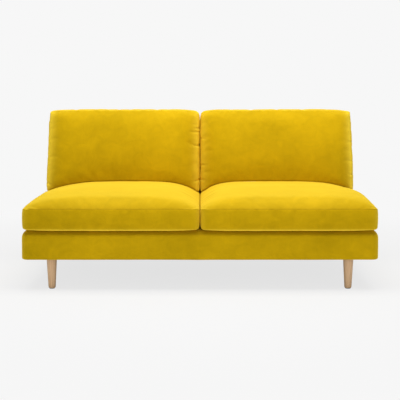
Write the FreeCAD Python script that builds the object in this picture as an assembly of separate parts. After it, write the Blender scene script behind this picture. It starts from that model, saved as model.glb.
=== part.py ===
"""Armless two-seat sofa: an upholstered timber base and back on four turned legs,
with two loose seat cushions and two loose back cushions. Millimetres, +Z up, front = -Y,
origin on the floor under the middle of the sofa."""
import FreeCAD, Part
import math
import os
from FreeCAD import Placement, Rotation, Vector

# Overall sizes
SOFA_WIDTH = 1700.0
SOFA_DEPTH = 900.0
BACK_TOP = 783.0
BACK_TOP_THICKNESS = 81.0
RECLINE = 11.0              # degrees, front of the back
REAR_LEAN = 2.7             # degrees, outside of the back
BASE_UNDERSIDE = 152.0      # floor to the lower edge of the velvet
SEAT_DECK = 292.0           # floor to the surface under the seat cushions
BASE_SETBACK = 10.0         # base front behind the cushions' front
ROLL_RADIUS = 36.0
CORNER_RADIUS = 40.0
HEM_RADIUS = 6.0
BACK_EDGE_RADIUS = 14.0

# Upholstery layers
COVER = 2.5                 # velvet with its lining
BORDER = 100.0              # velvet strip on the base's top, from its outer face
FLANGE = 30.0               # velvet turned under the rails
BASE_PADDING = 12.0
PLATFORM_PAD = 17.5
DECK_TUCK = 12.0            # deck layers reach this far under the back
FELT = 3.0
FELT_GAP = 0.4              # over the spring clips
FELT_INSET = 8.0
BACK_PADDING = 20.0
BACK_SIDE_PADDING = 27.0    # over the outer posts, sets the width of the back
BACK_TOP_PADDING = 15.0
TACK_BOARD = 3.0
DUST_COVER = 1.2
DUST_COVER_INSET = 15.0
OUTER_PANEL_INSET = 2.0
WEBBING = 1.5
WEBBING_WIDTH = 50.0
WEBBING_COUNT = 5
WEBBING_FIRST = 120.0       # deck to the lowest strap, along the slope
WEBBING_PITCH = 78.0

# Timber frame
RAIL = 25.0
POST = 30.0
CENTRE_RAIL_DROP = 27.0     # below the rails' tops, clear of the springs
CROSS_RAIL_WIDTH = 60.0
CROSS_RAIL_START = 30.0
BLOCK_WIDTH = 150.0
BLOCK_DEPTH = 95.0
BLOCK_HEIGHT = 45.0
BLOCK_CHAMFER = 40.0
FRAME_BOLT_RADIUS = 4.0
FRAME_BOLT_HEAD_RADIUS = 9.0
FRAME_BOLT_HEAD = 4.0
FRAME_BOLT_END = 10.0
FRAME_BOLT_DROP = 27.0      # below the rails' tops
FRAME_BOLT_FIRST = 36.0     # behind the foot of the back
FRAME_BOLT_PITCH = 66.0
NUT_RADIUS = 8.0
NUT_THICKNESS = 6.0

# Springs
WIRE = 3.6
LOOP_PITCH = 24.0
LOOP_WIDTH = 50.0
SPRINGS_PER_SEAT = 4
CLIP_PLATE = 1.2
CLIP_WIDTH = 20.0
CLIP_DEPTH = 14.0

# Legs
LEG_TOP_DIAMETER = 50.0
LEG_FOOT_DIAMETER = 34.0
LEG_FOOT_ROUNDING = 2.0
LEG_FROM_SIDE = 134.0
LEG_FROM_FRONT = 70.0
LEG_FROM_REAR = 63.0
GLIDE_DIAMETER = 26.0
GLIDE_HEIGHT = 3.0
GLIDE_STEM_DIAMETER = 5.0
GLIDE_STEM = 12.0
LEG_PLATE = 3.0
LEG_PLATE_SIZE = 64.0
LEG_BOLT_DIAMETER = 8.0
LEG_BOLT_IN_LEG = 40.0
LEG_BOLT_IN_BLOCK = 30.0
SCREW_OFFSET = 25.0
SCREW_DIAMETER = 4.0
SCREW_LENGTH = 24.0
SCREW_HEAD_DIAMETER = 8.0
SCREW_HEAD = 2.0

# Seat cushions
CUSHION_GAP = 2.0           # between left and right cushions
SEAT_BOXING = 102.5         # height of the upright sides
SEAT_CROWN = 68.0
SEAT_SHOULDER = 150.0
SHOULDER_SHARE = 0.8        # part of the crown reached at the shoulder
CROWN_POWER = 2.5
SEAM_LIFT = 2.0
SEAT_CORNER_RADIUS = 24.0
SEAT_SIDE_DRAW = 4.0        # corners drawn in from the sides' middle
WRAP = 16.0                 # fibre between cover and foam

# Back cushions
BACK_CUSHION_REACH = 545.0  # deck to the cushion's top, along the slope
BACK_CUSHION_THICKNESS = 175.0
BACK_CUSHION_EDGE = 122.0   # thickness at its sides
BACK_CUSHION_FOOT_INSET = 10.0
BACK_CUSHION_TOP_INSET = 22.0
BACK_CUSHION_BULGE = 26.0
BACK_CUSHION_SIDE_BULGE = 0.5   # part of the bulge left at its sides
BACK_CUSHION_TOP_CROWN = 5.0
BACK_CUSHION_FRONT_ROUNDING = 42.0
BACK_CUSHION_REAR_ROUNDING = 16.0
BACK_CUSHION_CORNER_RADIUS = 22.0
BACK_CUSHION_POWER = 4.0

# Zips
ZIP_LENGTH = 560.0
ZIP_TAPE_WIDTH = 28.0
ZIP_TAPE = 1.0
ZIP_COIL_WIDTH = 4.0
ZIP_COIL = 1.0
ZIP_OPENING = 12.0
ZIP_SLIDER_LENGTH = 14.0
ZIP_SLIDER_WIDTH = 9.0
ZIP_SLIDER_PLATE = 0.8
ZIP_PULL_LENGTH = 24.0
ZIP_PULL_WIDTH = 6.0
ZIP_ABOVE_DECK = 48.0       # seat cushions
BACK_ZIP_ABOVE_DECK = 190.0

# Clearances
SOFT_GAP = 0.5              # under and behind a loose cushion
FIT = 0.3                   # filling in its cover, wire in its clip
BORE_GAP = 0.1
OVER = 2.0                  # cutting tools run past what they cut
REAR_ALLOWANCE = 60.0       # blocks are drawn this far past the rear, then cut back
STATIONS = 5                # loft sections on each side of a cushion's middle

# Places that follow from the sizes
FRONT = -SOFA_DEPTH / 2
REAR = SOFA_DEPTH / 2
BASE_FRONT = FRONT + BASE_SETBACK
BEHIND = REAR + REAR_ALLOWANCE
SLOPE = math.tan(math.radians(RECLINE))
REAR_SLOPE = math.tan(math.radians(REAR_LEAN))
BACK_FOOT = REAR - BACK_TOP_THICKNESS - (BACK_TOP - SEAT_DECK) * SLOPE
CLIP_HEIGHT = WIRE + 2 * FIT + 2 * CLIP_PLATE
FELT_TOP = SEAT_DECK - COVER - PLATFORM_PAD
RAIL_TOP = FELT_TOP - FELT - FELT_GAP - CLIP_HEIGHT
RAIL_BOTTOM = BASE_UNDERSIDE + COVER
FRAME_HALF = SOFA_WIDTH / 2 - COVER - BASE_PADDING
INNER_HALF = FRAME_HALF - RAIL
POST_HALF = INNER_HALF      # the outer posts stand against the side rails
BACK_HALF = POST_HALF + BACK_SIDE_PADDING + COVER
FRAME_FRONT = BASE_FRONT + COVER + BASE_PADDING
DECK_HALF = SOFA_WIDTH / 2 - BORDER
DECK_FRONT = BASE_FRONT + BORDER
DECK_REAR = BACK_FOOT + DECK_TUCK
FRONT_STACK = COVER + BACK_PADDING + WEBBING
REAR_STACK = COVER + TACK_BOARD
LEG_X = SOFA_WIDTH / 2 - LEG_FROM_SIDE
PLATE_BOTTOM = RAIL_BOTTOM - LEG_PLATE
SEAM = SEAT_DECK + SOFT_GAP + SEAT_BOXING
SEAT_REAR = BACK_FOOT - SOFT_GAP
CUSHION_INNER = CUSHION_GAP / 2
UP = Vector(0, 0, 1)
ALONG_X = Vector(1, 0, 0)


def front_plane(z, inset=0.0):
    """Y of the back's front face at height z, a distance inside it."""
    return BACK_FOOT + (z - SEAT_DECK) * SLOPE + inset / math.cos(math.radians(RECLINE))


def rear_plane(z, inset=0.0):
    """Y of the back's outside face at height z, a distance inside it."""
    return REAR - (BACK_TOP - z) * REAR_SLOPE - inset / math.cos(math.radians(REAR_LEAN))


RAIL_REAR = rear_plane(RAIL_BOTTOM, REAR_STACK)
REAR_RAIL_FRONT = RAIL_REAR - RAIL
SEAT_RAIL_REAR = front_plane(RAIL_BOTTOM, FRONT_STACK)
SEAT_RAIL_FRONT = SEAT_RAIL_REAR - RAIL
FRONT_LEG_Y = BASE_FRONT + LEG_FROM_FRONT
REAR_LEG_Y = rear_plane(BASE_UNDERSIDE) - LEG_FROM_REAR
POST_TOP = BACK_TOP - COVER - BACK_TOP_PADDING - RAIL


def box(x0, x1, y0, y1, z0, z1):
    return Part.makeBox(x1 - x0, y1 - y0, z1 - z0, Vector(x0, y0, z0))


def side_prism(points, x0, x1):
    """A side-view outline of (y, z) points carried from x0 to x1."""
    corners = [Vector(x0, y, z) for y, z in points]
    outline = Part.makePolygon(corners + corners[:1])
    return Part.Face(outline).extrude(Vector(x1 - x0, 0, 0))


def round_edges(shape, radius, chosen):
    """Fillet the edges whose bounding boxes are chosen."""
    edges = [edge for edge in shape.Edges if chosen(edge.BoundBox)]
    return shape.makeFillet(radius, edges)


def rod(radius, length, base, direction=UP):
    return Part.makeCylinder(radius, length, base, direction)


def mirrored(shape):
    return shape.mirror(Vector(0, 0, 0), ALONG_X)


def lean(shape):
    """Place a shape drawn on an upright back (front face at y = 0, deck at z = 0) on the slope."""
    placed = shape.copy()
    slope = Placement(Vector(0, BACK_FOOT, SEAT_DECK), Rotation(ALONG_X, -RECLINE))
    placed.Placement = slope.multiply(shape.Placement)
    return placed


def behind_rear_plane(inset):
    low = BASE_UNDERSIDE - OVER
    high = BACK_TOP + OVER
    points = [(rear_plane(low, inset), low), (rear_plane(high, inset), high),
              (BEHIND + OVER, high), (BEHIND + OVER, low)]
    return side_prism(points, -SOFA_WIDTH, SOFA_WIDTH)


# Upholstered base
def base_block(inset):
    """The base's outer form, a distance inside it: rolled top, round corners, open to the rear."""
    half = SOFA_WIDTH / 2 - inset
    front = BASE_FRONT + inset
    top = SEAT_DECK - inset
    bottom = BASE_UNDERSIDE + inset
    block = box(-half, half, front, BEHIND, bottom, top)
    block = round_edges(block, CORNER_RADIUS - inset, lambda b: b.ZLength > FIT and b.YMax < front + FIT)
    block = round_edges(block, ROLL_RADIUS - inset, lambda b: b.ZMin > top - FIT and b.YMin < BEHIND - FIT)
    block = round_edges(block, HEM_RADIUS - inset, lambda b: b.ZMax < bottom + FIT and b.YMin < BEHIND - FIT)
    return block.cut(behind_rear_plane(COVER))


def post_well():
    """The room on the right side where the back's post comes up through the base."""
    return box(DECK_HALF - OVER, POST_HALF + OVER, DECK_REAR, BEHIND, FELT_TOP - OVER, SEAT_DECK + OVER)


def base_covers():
    shell = base_block(0.0).cut(base_block(COVER))
    half = SOFA_WIDTH / 2
    under = box(-half + FLANGE, half - FLANGE, BASE_FRONT + FLANGE, BEHIND, 0, RAIL_BOTTOM + OVER)
    above = box(-DECK_HALF, DECK_HALF, DECK_FRONT, BEHIND, FELT_TOP, SEAT_DECK + OVER)
    shell = shell.cut(under).cut(above)
    front = shell.common(box(-half, half, BASE_FRONT, DECK_FRONT, 0, BACK_TOP))
    right = shell.common(box(0, half, DECK_FRONT, BEHIND, 0, BACK_TOP)).cut(post_well())
    return front, right


def base_paddings():
    inside = base_block(COVER)
    frame_room = box(-FRAME_HALF, FRAME_HALF, FRAME_FRONT, BEHIND, 0, FELT_TOP)
    middle = box(-DECK_HALF, DECK_HALF, DECK_FRONT, BEHIND, 0, SEAT_DECK)
    foam = inside.cut(frame_room).cut(middle)
    half = SOFA_WIDTH / 2
    front = foam.common(box(-half, half, BASE_FRONT, DECK_FRONT, 0, BACK_TOP))
    right = foam.common(box(0, half, DECK_FRONT, BEHIND, 0, BACK_TOP)).cut(post_well())
    return front, right


def dust_cover():
    reach = SOFA_WIDTH / 2 - DUST_COVER_INSET
    front = BASE_FRONT + DUST_COVER_INSET
    rear = rear_plane(BASE_UNDERSIDE, REAR_STACK)
    sheet = box(-reach, reach, front, rear, BASE_UNDERSIDE - DUST_COVER, BASE_UNDERSIDE)
    window = LEG_PLATE_SIZE / 2 + OVER
    for x, y in leg_places():
        sheet = sheet.cut(box(x - window, x + window, y - window, y + window, 0, BACK_TOP))
    return sheet


# Timber frame
def leg_places():
    return [(side * LEG_X, y) for y in (FRONT_LEG_Y, REAR_LEG_Y) for side in (-1, 1)]


def frame_bolt_places():
    return [BACK_FOOT + FRAME_BOLT_FIRST + i * FRAME_BOLT_PITCH for i in range(2)]


def front_rail():
    return box(-INNER_HALF, INNER_HALF, FRAME_FRONT, FRAME_FRONT + RAIL, RAIL_BOTTOM, RAIL_TOP)


def seat_rail():
    return box(-INNER_HALF, INNER_HALF, SEAT_RAIL_FRONT, SEAT_RAIL_REAR, RAIL_BOTTOM, RAIL_TOP)


def rear_rail():
    reach = POST_HALF - POST
    return box(-reach, reach, REAR_RAIL_FRONT, RAIL_REAR, RAIL_BOTTOM, RAIL_TOP)


def centre_rail():
    return box(-RAIL / 2, RAIL / 2, FRAME_FRONT + RAIL, SEAT_RAIL_FRONT, RAIL_BOTTOM, RAIL_TOP - CENTRE_RAIL_DROP)


def bolt_holes(radius, x0, x1):
    z = RAIL_TOP - FRAME_BOLT_DROP
    return [rod(radius, x1 - x0, Vector(x0, y, z), ALONG_X) for y in frame_bolt_places()]


def side_rail():
    rail = box(INNER_HALF, FRAME_HALF, FRAME_FRONT, RAIL_REAR, RAIL_BOTTOM, RAIL_TOP)
    for hole in bolt_holes(FRAME_BOLT_RADIUS + BORE_GAP, INNER_HALF - OVER, FRAME_HALF + OVER):
        rail = rail.cut(hole)
    sink = FRAME_HALF - FRAME_BOLT_HEAD - FIT
    for recess in bolt_holes(FRAME_BOLT_HEAD_RADIUS + FIT, sink, FRAME_HALF + OVER):
        rail = rail.cut(recess)
    return rail


def corner_block(is_front):
    outer = INNER_HALF if is_front else POST_HALF - POST
    inner = outer - BLOCK_WIDTH
    start = FRAME_FRONT + RAIL if is_front else REAR_RAIL_FRONT - BLOCK_DEPTH
    end = start + BLOCK_DEPTH
    top = RAIL_BOTTOM + BLOCK_HEIGHT
    block = box(inner, outer, start, end, RAIL_BOTTOM, top)
    free_y = end if is_front else start
    corner = [e for e in block.Edges if e.BoundBox.XMax < inner + FIT and abs(e.BoundBox.YMin - free_y) < FIT
              and e.BoundBox.YLength < FIT]
    block = block.makeChamfer(BLOCK_CHAMFER, corner)
    leg_y = FRONT_LEG_Y if is_front else REAR_LEG_Y
    radius = LEG_BOLT_DIAMETER / 2 + BORE_GAP
    block = block.cut(rod(radius, LEG_BOLT_IN_BLOCK + OVER, Vector(LEG_X, leg_y, RAIL_BOTTOM - OVER / 2)))
    for x, y in screw_places(LEG_X, leg_y):
        pilot = rod(SCREW_DIAMETER / 2 + BORE_GAP, SCREW_LENGTH, Vector(x, y, RAIL_BOTTOM - LEG_PLATE))
        block = block.cut(pilot)
    return block


def back_post(x, notched):
    """A wedge-shaped upright; the middle one is notched over the rear rail."""
    outline = [(SEAT_RAIL_REAR, RAIL_BOTTOM)]
    if notched:
        outline += [(REAR_RAIL_FRONT, RAIL_BOTTOM), (REAR_RAIL_FRONT, RAIL_TOP)]
        outline += [(rear_plane(RAIL_TOP, REAR_STACK), RAIL_TOP)]
    else:
        outline += [(RAIL_REAR, RAIL_BOTTOM)]
    outline += [(rear_plane(POST_TOP, REAR_STACK), POST_TOP), (front_plane(POST_TOP, FRONT_STACK), POST_TOP)]
    post = side_prism(outline, x, x + POST)
    if not notched:
        for hole in bolt_holes(FRAME_BOLT_RADIUS + BORE_GAP, x - OVER, x + POST + OVER):
            post = post.cut(hole)
    return post


def back_top_rail():
    top = POST_TOP + RAIL
    outline = [(front_plane(POST_TOP, FRONT_STACK), POST_TOP), (rear_plane(POST_TOP, REAR_STACK), POST_TOP),
               (rear_plane(top, REAR_STACK), top), (front_plane(top, FRONT_STACK), top)]
    return side_prism(outline, -POST_HALF, POST_HALF)


def back_cross_rails():
    """Two short rails between the posts, for the lower ends of the cover and padding."""
    low = CROSS_RAIL_START
    right = box(POST / 2, POST_HALF - POST, FRONT_STACK, FRONT_STACK + RAIL, low, low + CROSS_RAIL_WIDTH)
    return [lean(right), lean(mirrored(right))]


def frame_bolts():
    bolts = []
    head_face = FRAME_HALF
    for y in frame_bolt_places():
        z = RAIL_TOP - FRAME_BOLT_DROP
        head = rod(FRAME_BOLT_HEAD_RADIUS, FRAME_BOLT_HEAD, Vector(head_face - FRAME_BOLT_HEAD, y, z), ALONG_X)
        end = POST_HALF - POST - FRAME_BOLT_END
        shank = rod(FRAME_BOLT_RADIUS, head_face - FRAME_BOLT_HEAD - end, Vector(end, y, z), ALONG_X)
        bolts.append(head.fuse(shank).removeSplitter())
    return bolts + [mirrored(bolt) for bolt in bolts]


def frame_nuts():
    nuts = []
    for y in frame_bolt_places():
        start = Vector(POST_HALF - POST - NUT_THICKNESS, y, RAIL_TOP - FRAME_BOLT_DROP)
        nut = rod(NUT_RADIUS, NUT_THICKNESS, start, ALONG_X)
        nuts.append(nut.cut(rod(FRAME_BOLT_RADIUS + BORE_GAP, NUT_THICKNESS, start, ALONG_X)))
    return nuts + [mirrored(nut) for nut in nuts]


# Legs
def screw_places(x, y):
    return [(x + i * SCREW_OFFSET, y + j * SCREW_OFFSET) for i in (-1, 1) for j in (-1, 1)]


def leg(x, y):
    top = PLATE_BOTTOM
    foot = LEG_FOOT_DIAMETER / 2
    bottom = GLIDE_HEIGHT
    height = top - bottom
    cone = Part.makeCone(foot, LEG_TOP_DIAMETER / 2, height, Vector(x, y, bottom))
    cone = round_edges(cone, LEG_FOOT_ROUNDING, lambda b: b.ZMax < bottom + FIT and b.XLength > foot)
    bore = rod(LEG_BOLT_DIAMETER / 2 + BORE_GAP, LEG_BOLT_IN_LEG + OVER, Vector(x, y, top - LEG_BOLT_IN_LEG))
    stem = rod(GLIDE_STEM_DIAMETER / 2 + BORE_GAP, GLIDE_STEM + OVER, Vector(x, y, bottom - OVER / 2))
    return cone.cut(bore).cut(stem)


def leg_glide(x, y):
    pad = rod(GLIDE_DIAMETER / 2, GLIDE_HEIGHT, Vector(x, y, 0))
    stem = rod(GLIDE_STEM_DIAMETER / 2, GLIDE_STEM, Vector(x, y, GLIDE_HEIGHT))
    return pad.fuse(stem)


def leg_bolt(x, y):
    length = LEG_BOLT_IN_LEG + LEG_PLATE + LEG_BOLT_IN_BLOCK
    return rod(LEG_BOLT_DIAMETER / 2, length, Vector(x, y, PLATE_BOTTOM - LEG_BOLT_IN_LEG))


def leg_plate(x, y):
    half = LEG_PLATE_SIZE / 2
    plate = box(x - half, x + half, y - half, y + half, PLATE_BOTTOM, RAIL_BOTTOM)
    plate = plate.cut(rod(LEG_BOLT_DIAMETER / 2 + BORE_GAP, LEG_PLATE, Vector(x, y, PLATE_BOTTOM)))
    for hole_x, hole_y in screw_places(x, y):
        plate = plate.cut(rod(SCREW_DIAMETER / 2 + FIT, LEG_PLATE, Vector(hole_x, hole_y, PLATE_BOTTOM)))
    return plate


def plate_screws(x, y):
    screws = []
    for hole_x, hole_y in screw_places(x, y):
        head = rod(SCREW_HEAD_DIAMETER / 2, SCREW_HEAD, Vector(hole_x, hole_y, PLATE_BOTTOM - SCREW_HEAD))
        shank = rod(SCREW_DIAMETER / 2, SCREW_LENGTH - SCREW_HEAD, Vector(hole_x, hole_y, PLATE_BOTTOM))
        screws.append(head.fuse(shank))
    return screws


# Seat suspension
def spring_places():
    start = RAIL / 2
    pitch = (INNER_HALF - start) / SPRINGS_PER_SEAT
    return [start + (i + 0.5) * pitch for i in range(SPRINGS_PER_SEAT)]


def clip_lines():
    """Y of the springs' first and last bars, over the middle of the two rails."""
    return FRAME_FRONT + RAIL / 2, SEAT_RAIL_FRONT + RAIL / 2


def spring():
    """One zigzag spring of wire, straight bars joined by half circles, at x = 0."""
    first, last = clip_lines()
    turns = 2 * round((last - first) / LOOP_PITCH / 2)
    pitch = (last - first) / turns
    radius = pitch / 2
    bar = LOOP_WIDTH / 2 - radius
    z = RAIL_TOP + CLIP_PLATE + FIT + WIRE / 2
    lean_in = radius * (1 - math.cos(math.radians(45)))
    path = []
    side = 1
    for i in range(turns + 1):
        y = first + i * pitch
        path.append(Part.LineSegment(Vector(-side * bar, y, z), Vector(side * bar, y, z)))
        if i < turns:
            near = Vector(side * bar, y, z)
            middle = Vector(side * (bar + radius), y + radius, z)
            far = Vector(side * bar, y + pitch, z)
            reach = side * (bar + radius - lean_in)
            path.append(Part.Arc(near, Vector(reach, y + lean_in, z), middle))
            path.append(Part.Arc(middle, Vector(reach, y + pitch - lean_in, z), far))
        side = -side
    spine = Part.Wire([piece.toShape() for piece in path])
    section = Part.Wire(Part.makeCircle(WIRE / 2, Vector(-bar, first, z), ALONG_X))
    return spine.makePipeShell([section], True, False)


def seat_springs():
    one = spring()
    springs = []
    for x in spring_places():
        placed = one.copy()
        placed.translate(Vector(x, 0, 0))
        springs.append(placed)
    return springs


def spring_clips():
    """C-shaped clips, open towards the springs, on the front rail and the seat rail."""
    first, last = clip_lines()
    clips = []
    for y, inward in ((first, 1), (last, -1)):
        slot_back = WIRE / 2 + FIT
        closed_y = y - inward * (slot_back + CLIP_PLATE)
        open_y = closed_y + inward * CLIP_DEPTH
        slot_y = y - inward * slot_back
        low = RAIL_TOP + CLIP_PLATE
        high = low + WIRE + 2 * FIT
        for centre in spring_places():
            x0 = centre - CLIP_WIDTH / 2
            x1 = centre + CLIP_WIDTH / 2
            body = box(x0, x1, min(closed_y, open_y), max(closed_y, open_y), RAIL_TOP, RAIL_TOP + CLIP_HEIGHT)
            far_y = open_y + inward * OVER
            slot = box(x0 - OVER, x1 + OVER, min(slot_y, far_y), max(slot_y, far_y), low, high)
            clips.append(body.cut(slot))
    return clips + [mirrored(clip) for clip in clips]


def felt():
    half = FRAME_HALF - FELT_INSET
    return box(-half, half, FRAME_FRONT + FELT_INSET, DECK_REAR, FELT_TOP - FELT, FELT_TOP)


def platform_pad():
    return box(-DECK_HALF, DECK_HALF, DECK_FRONT, DECK_REAR, FELT_TOP, SEAT_DECK - COVER)


def deck_cloth():
    return box(-DECK_HALF, DECK_HALF, DECK_FRONT, DECK_REAR, SEAT_DECK - COVER, SEAT_DECK)


# Upholstered back
def back_block(inset):
    """The back's outer form, a distance inside it, standing on the base."""
    half = BACK_HALF - inset
    top = BACK_TOP - inset
    low = SEAT_DECK - 2 * ROLL_RADIUS
    outline = [(front_plane(low, inset), low), (front_plane(top, inset), top), (BEHIND, top), (BEHIND, low)]
    block = side_prism(outline, -half, half)
    radius = BACK_EDGE_RADIUS - inset
    corner_y = front_plane(top, inset)
    block = round_edges(block, radius, lambda b: b.YMax < corner_y + FIT and b.ZMax > top - FIT)
    block = round_edges(block, radius, lambda b: b.YLength > BACK_TOP_THICKNESS and b.ZMin > top - radius)
    return block.cut(behind_rear_plane(COVER))


def on_base(shape):
    return shape.cut(base_block(0.0))


def back_inner_cover():
    return on_base(back_block(0.0).cut(back_block(COVER)))


def back_paddings():
    """Front, top and right side foam."""
    foam = on_base(back_block(COVER)).cut(behind_rear_plane(REAR_STACK))
    wide = SOFA_WIDTH
    front_face = lean(box(-wide, wide, 0, COVER + BACK_PADDING, -wide, wide))
    front = foam.common(front_face)
    rest = foam.cut(lean(box(-wide, wide, 0, FRONT_STACK, -wide, wide)))
    top_line = BACK_TOP - COVER - BACK_TOP_PADDING
    top = rest.common(box(-POST_HALF, POST_HALF, FRONT, BEHIND, top_line, BACK_TOP))
    side = rest.common(box(POST_HALF, wide, FRONT, BEHIND, RAIL_BOTTOM, BACK_TOP))
    return front, top, side


def back_webbing():
    straps = []
    for i in range(WEBBING_COUNT):
        low = WEBBING_FIRST + i * WEBBING_PITCH
        strap = box(-POST_HALF, POST_HALF, FRONT_STACK - WEBBING, FRONT_STACK, low, low + WEBBING_WIDTH)
        straps.append(lean(strap))
    return straps


def rear_panel(half, low, high, near, far):
    """A panel on the outside slope, between two depths inside it."""
    outline = [(rear_plane(low, near), low), (rear_plane(high, near), high),
               (rear_plane(high, far), high), (rear_plane(low, far), low)]
    return side_prism(outline, -half, half)


def back_outer_cover():
    """One panel over the back and, a little wider, over the rear of the base."""
    low = BASE_UNDERSIDE + OUTER_PANEL_INSET
    step = SEAT_DECK - ROLL_RADIUS
    high = BACK_TOP - OUTER_PANEL_INSET
    wide = rear_panel(SOFA_WIDTH / 2 - OUTER_PANEL_INSET, low, step, 0.0, COVER)
    narrow = rear_panel(BACK_HALF - OUTER_PANEL_INSET, low, high, 0.0, COVER)
    return wide.fuse(narrow).removeSplitter()


def tack_board():
    return rear_panel(POST_HALF, RAIL_BOTTOM, POST_TOP + RAIL, COVER, REAR_STACK)


# Cushions
def stations(half):
    """Distances from a cushion's middle, closer together near its sides."""
    right = [half * math.sin(math.pi / 2 * i / STATIONS) for i in range(STATIONS + 1)]
    return [-x for x in reversed(right[1:])] + right


def arc(start, middle, end):
    return Part.Arc(start, middle, end).toShape()


def line(start, end):
    return Part.LineSegment(start, end).toShape()


def seat_section(x, crown, inset):
    """Side view of a seat cushion's top at x: shoulder, crown and shoulder, tangent to each other."""
    front = FRONT - OVER + inset
    rear = SEAT_REAR + OVER - inset
    seam = SEAM - inset
    low = SEAT_DECK - OVER
    shoulder = seam + SHOULDER_SHARE * crown
    a = Vector(x, front, seam)
    b = Vector(x, front + SEAT_SHOULDER, shoulder)
    c = Vector(x, rear - SEAT_SHOULDER, shoulder)
    d = Vector(x, rear, seam)
    top = Vector(x, (front + rear) / 2, seam + crown)
    end_angle = math.atan2(4 * (seam + crown - shoulder), c.y - b.y)
    chord_angle = math.atan2(shoulder - seam, SEAT_SHOULDER)
    chord = math.hypot(shoulder - seam, SEAT_SHOULDER)
    rise = chord / 2 * math.tan((chord_angle - end_angle) / 2)
    front_mid = (a + b) * 0.5 + Vector(0, -math.sin(chord_angle), math.cos(chord_angle)) * rise
    rear_mid = (c + d) * 0.5 + Vector(0, math.sin(chord_angle), math.cos(chord_angle)) * rise
    foot_front = Vector(x, front, low)
    foot_rear = Vector(x, rear, low)
    return Part.Wire([arc(a, front_mid, b), arc(b, top, c), arc(c, rear_mid, d),
                      line(d, foot_rear), line(foot_rear, foot_front), line(foot_front, a)])


def seat_crown(inset):
    """The crowned top of the right seat cushion, wider than the cushion."""
    half = (SOFA_WIDTH / 2 - CUSHION_INNER) / 2
    centre = CUSHION_INNER + half
    sections = []
    for offset in stations(half + OVER):
        share = min(1.0, abs(offset) / half)
        crown = SEAM_LIFT + SEAT_CROWN * (1 - share ** CROWN_POWER)
        sections.append(seat_section(centre + offset, crown, inset))
    return Part.makeLoft(sections, True, False)


def seat_form(inset):
    """The right seat cushion, a distance inside its cover."""
    x0 = CUSHION_INNER + inset
    x1 = SOFA_WIDTH / 2 - inset
    y0 = FRONT + inset
    y1 = SEAT_REAR - inset
    draw = SEAT_SIDE_DRAW
    z = SEAT_DECK + SOFT_GAP + inset
    corners = [Vector(x0 + draw, y0 + draw, z), Vector(x1 - draw, y0 + draw, z),
               Vector(x1 - draw, y1, z), Vector(x0 + draw, y1, z)]
    outline = Part.Wire([arc(corners[0], Vector((x0 + x1) / 2, y0, z), corners[1]),
                         arc(corners[1], Vector(x1, (y0 + y1) / 2, z), corners[2]),
                         line(corners[2], corners[3]),
                         arc(corners[3], Vector(x0, (y0 + y1) / 2, z), corners[0])])
    column = Part.Face(outline).extrude(Vector(0, 0, SEAT_BOXING + 2 * SEAT_CROWN))
    column = round_edges(column, max(SEAT_CORNER_RADIUS - inset, FIT), lambda b: b.ZLength > SEAT_BOXING)
    return column.common(seat_crown(inset))


def back_section(x, share, inset):
    """Side view of a back cushion at x, drawn on the upright back."""
    thickness = BACK_CUSHION_EDGE + (BACK_CUSHION_THICKNESS - BACK_CUSHION_EDGE) * share
    rear = -SOFT_GAP - inset
    front = -SOFT_GAP - thickness + inset
    bulge = BACK_CUSHION_BULGE * (BACK_CUSHION_SIDE_BULGE + (1 - BACK_CUSHION_SIDE_BULGE) * share)
    top = BACK_CUSHION_REACH - BACK_CUSHION_TOP_CROWN - inset
    low = 0.0
    rear_round = BACK_CUSHION_REAR_ROUNDING
    front_round = BACK_CUSHION_FRONT_ROUNDING
    shoulder = front + bulge
    half_turn = 1 - math.cos(math.radians(45))
    a = Vector(x, rear, low)
    b = Vector(x, rear, top - rear_round)
    c = Vector(x, rear - rear_round, top)
    d = Vector(x, shoulder + front_round, top)
    e = Vector(x, shoulder, top - front_round)
    f = Vector(x, shoulder, low)
    rear_corner = Vector(x, rear - rear_round * half_turn, top - rear_round * half_turn)
    front_corner = Vector(x, shoulder + front_round * half_turn, top - front_round * half_turn)
    crest = Vector(x, (c.y + d.y) / 2, top + BACK_CUSHION_TOP_CROWN)
    belly = Vector(x, front, (e.z + f.z) / 2)
    return Part.Wire([line(a, b), arc(b, rear_corner, c), arc(c, crest, d), arc(d, front_corner, e),
                      arc(e, belly, f), line(f, a)])


def back_thickness(inset):
    """The right back cushion's form seen from the side, wider than the cushion."""
    half = (BACK_HALF - BACK_CUSHION_FOOT_INSET - CUSHION_INNER) / 2
    centre = CUSHION_INNER + half
    sections = []
    for offset in stations(half + OVER):
        share = 1 - min(1.0, abs(offset) / half) ** BACK_CUSHION_POWER
        sections.append(back_section(centre + offset, share, inset))
    return Part.makeLoft(sections, True, False)


def back_form(inset):
    """The right back cushion, a distance inside its cover; its foot follows the seat cushion's top."""
    x0 = CUSHION_INNER + inset
    foot_x = BACK_HALF - BACK_CUSHION_FOOT_INSET - inset
    top_x = BACK_HALF - BACK_CUSHION_TOP_INSET - inset
    top = BACK_CUSHION_REACH - inset
    depth = BACK_CUSHION_THICKNESS + BACK_CUSHION_REACH
    corners = [Vector(x0, OVER, 0), Vector(foot_x, OVER, 0), Vector(top_x, OVER, top), Vector(x0, OVER, top)]
    outline = Part.makePolygon(corners + corners[:1])
    panel = Part.Face(outline).extrude(Vector(0, -depth, 0))
    corner_radius = max(BACK_CUSHION_CORNER_RADIUS - inset, FIT)
    panel = round_edges(panel, corner_radius, lambda b: b.YLength > depth - FIT and b.ZMin > top - FIT)
    cushion = lean(panel.common(back_thickness(inset)))
    seat = seat_crown(0.0)
    seat.translate(Vector(0, 0, SOFT_GAP + inset))
    level = SEAM + SOFT_GAP + inset
    below = box(0, SOFA_WIDTH, FRONT, REAR, 0, level)
    return cushion.cut(seat).cut(below)


def zip_box(length, width, near, far):
    """A box on a cushion's rear face (at y = 0), from one depth inside it to another."""
    return box(-length / 2, length / 2, -far, -near, -width / 2, width / 2)


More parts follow.
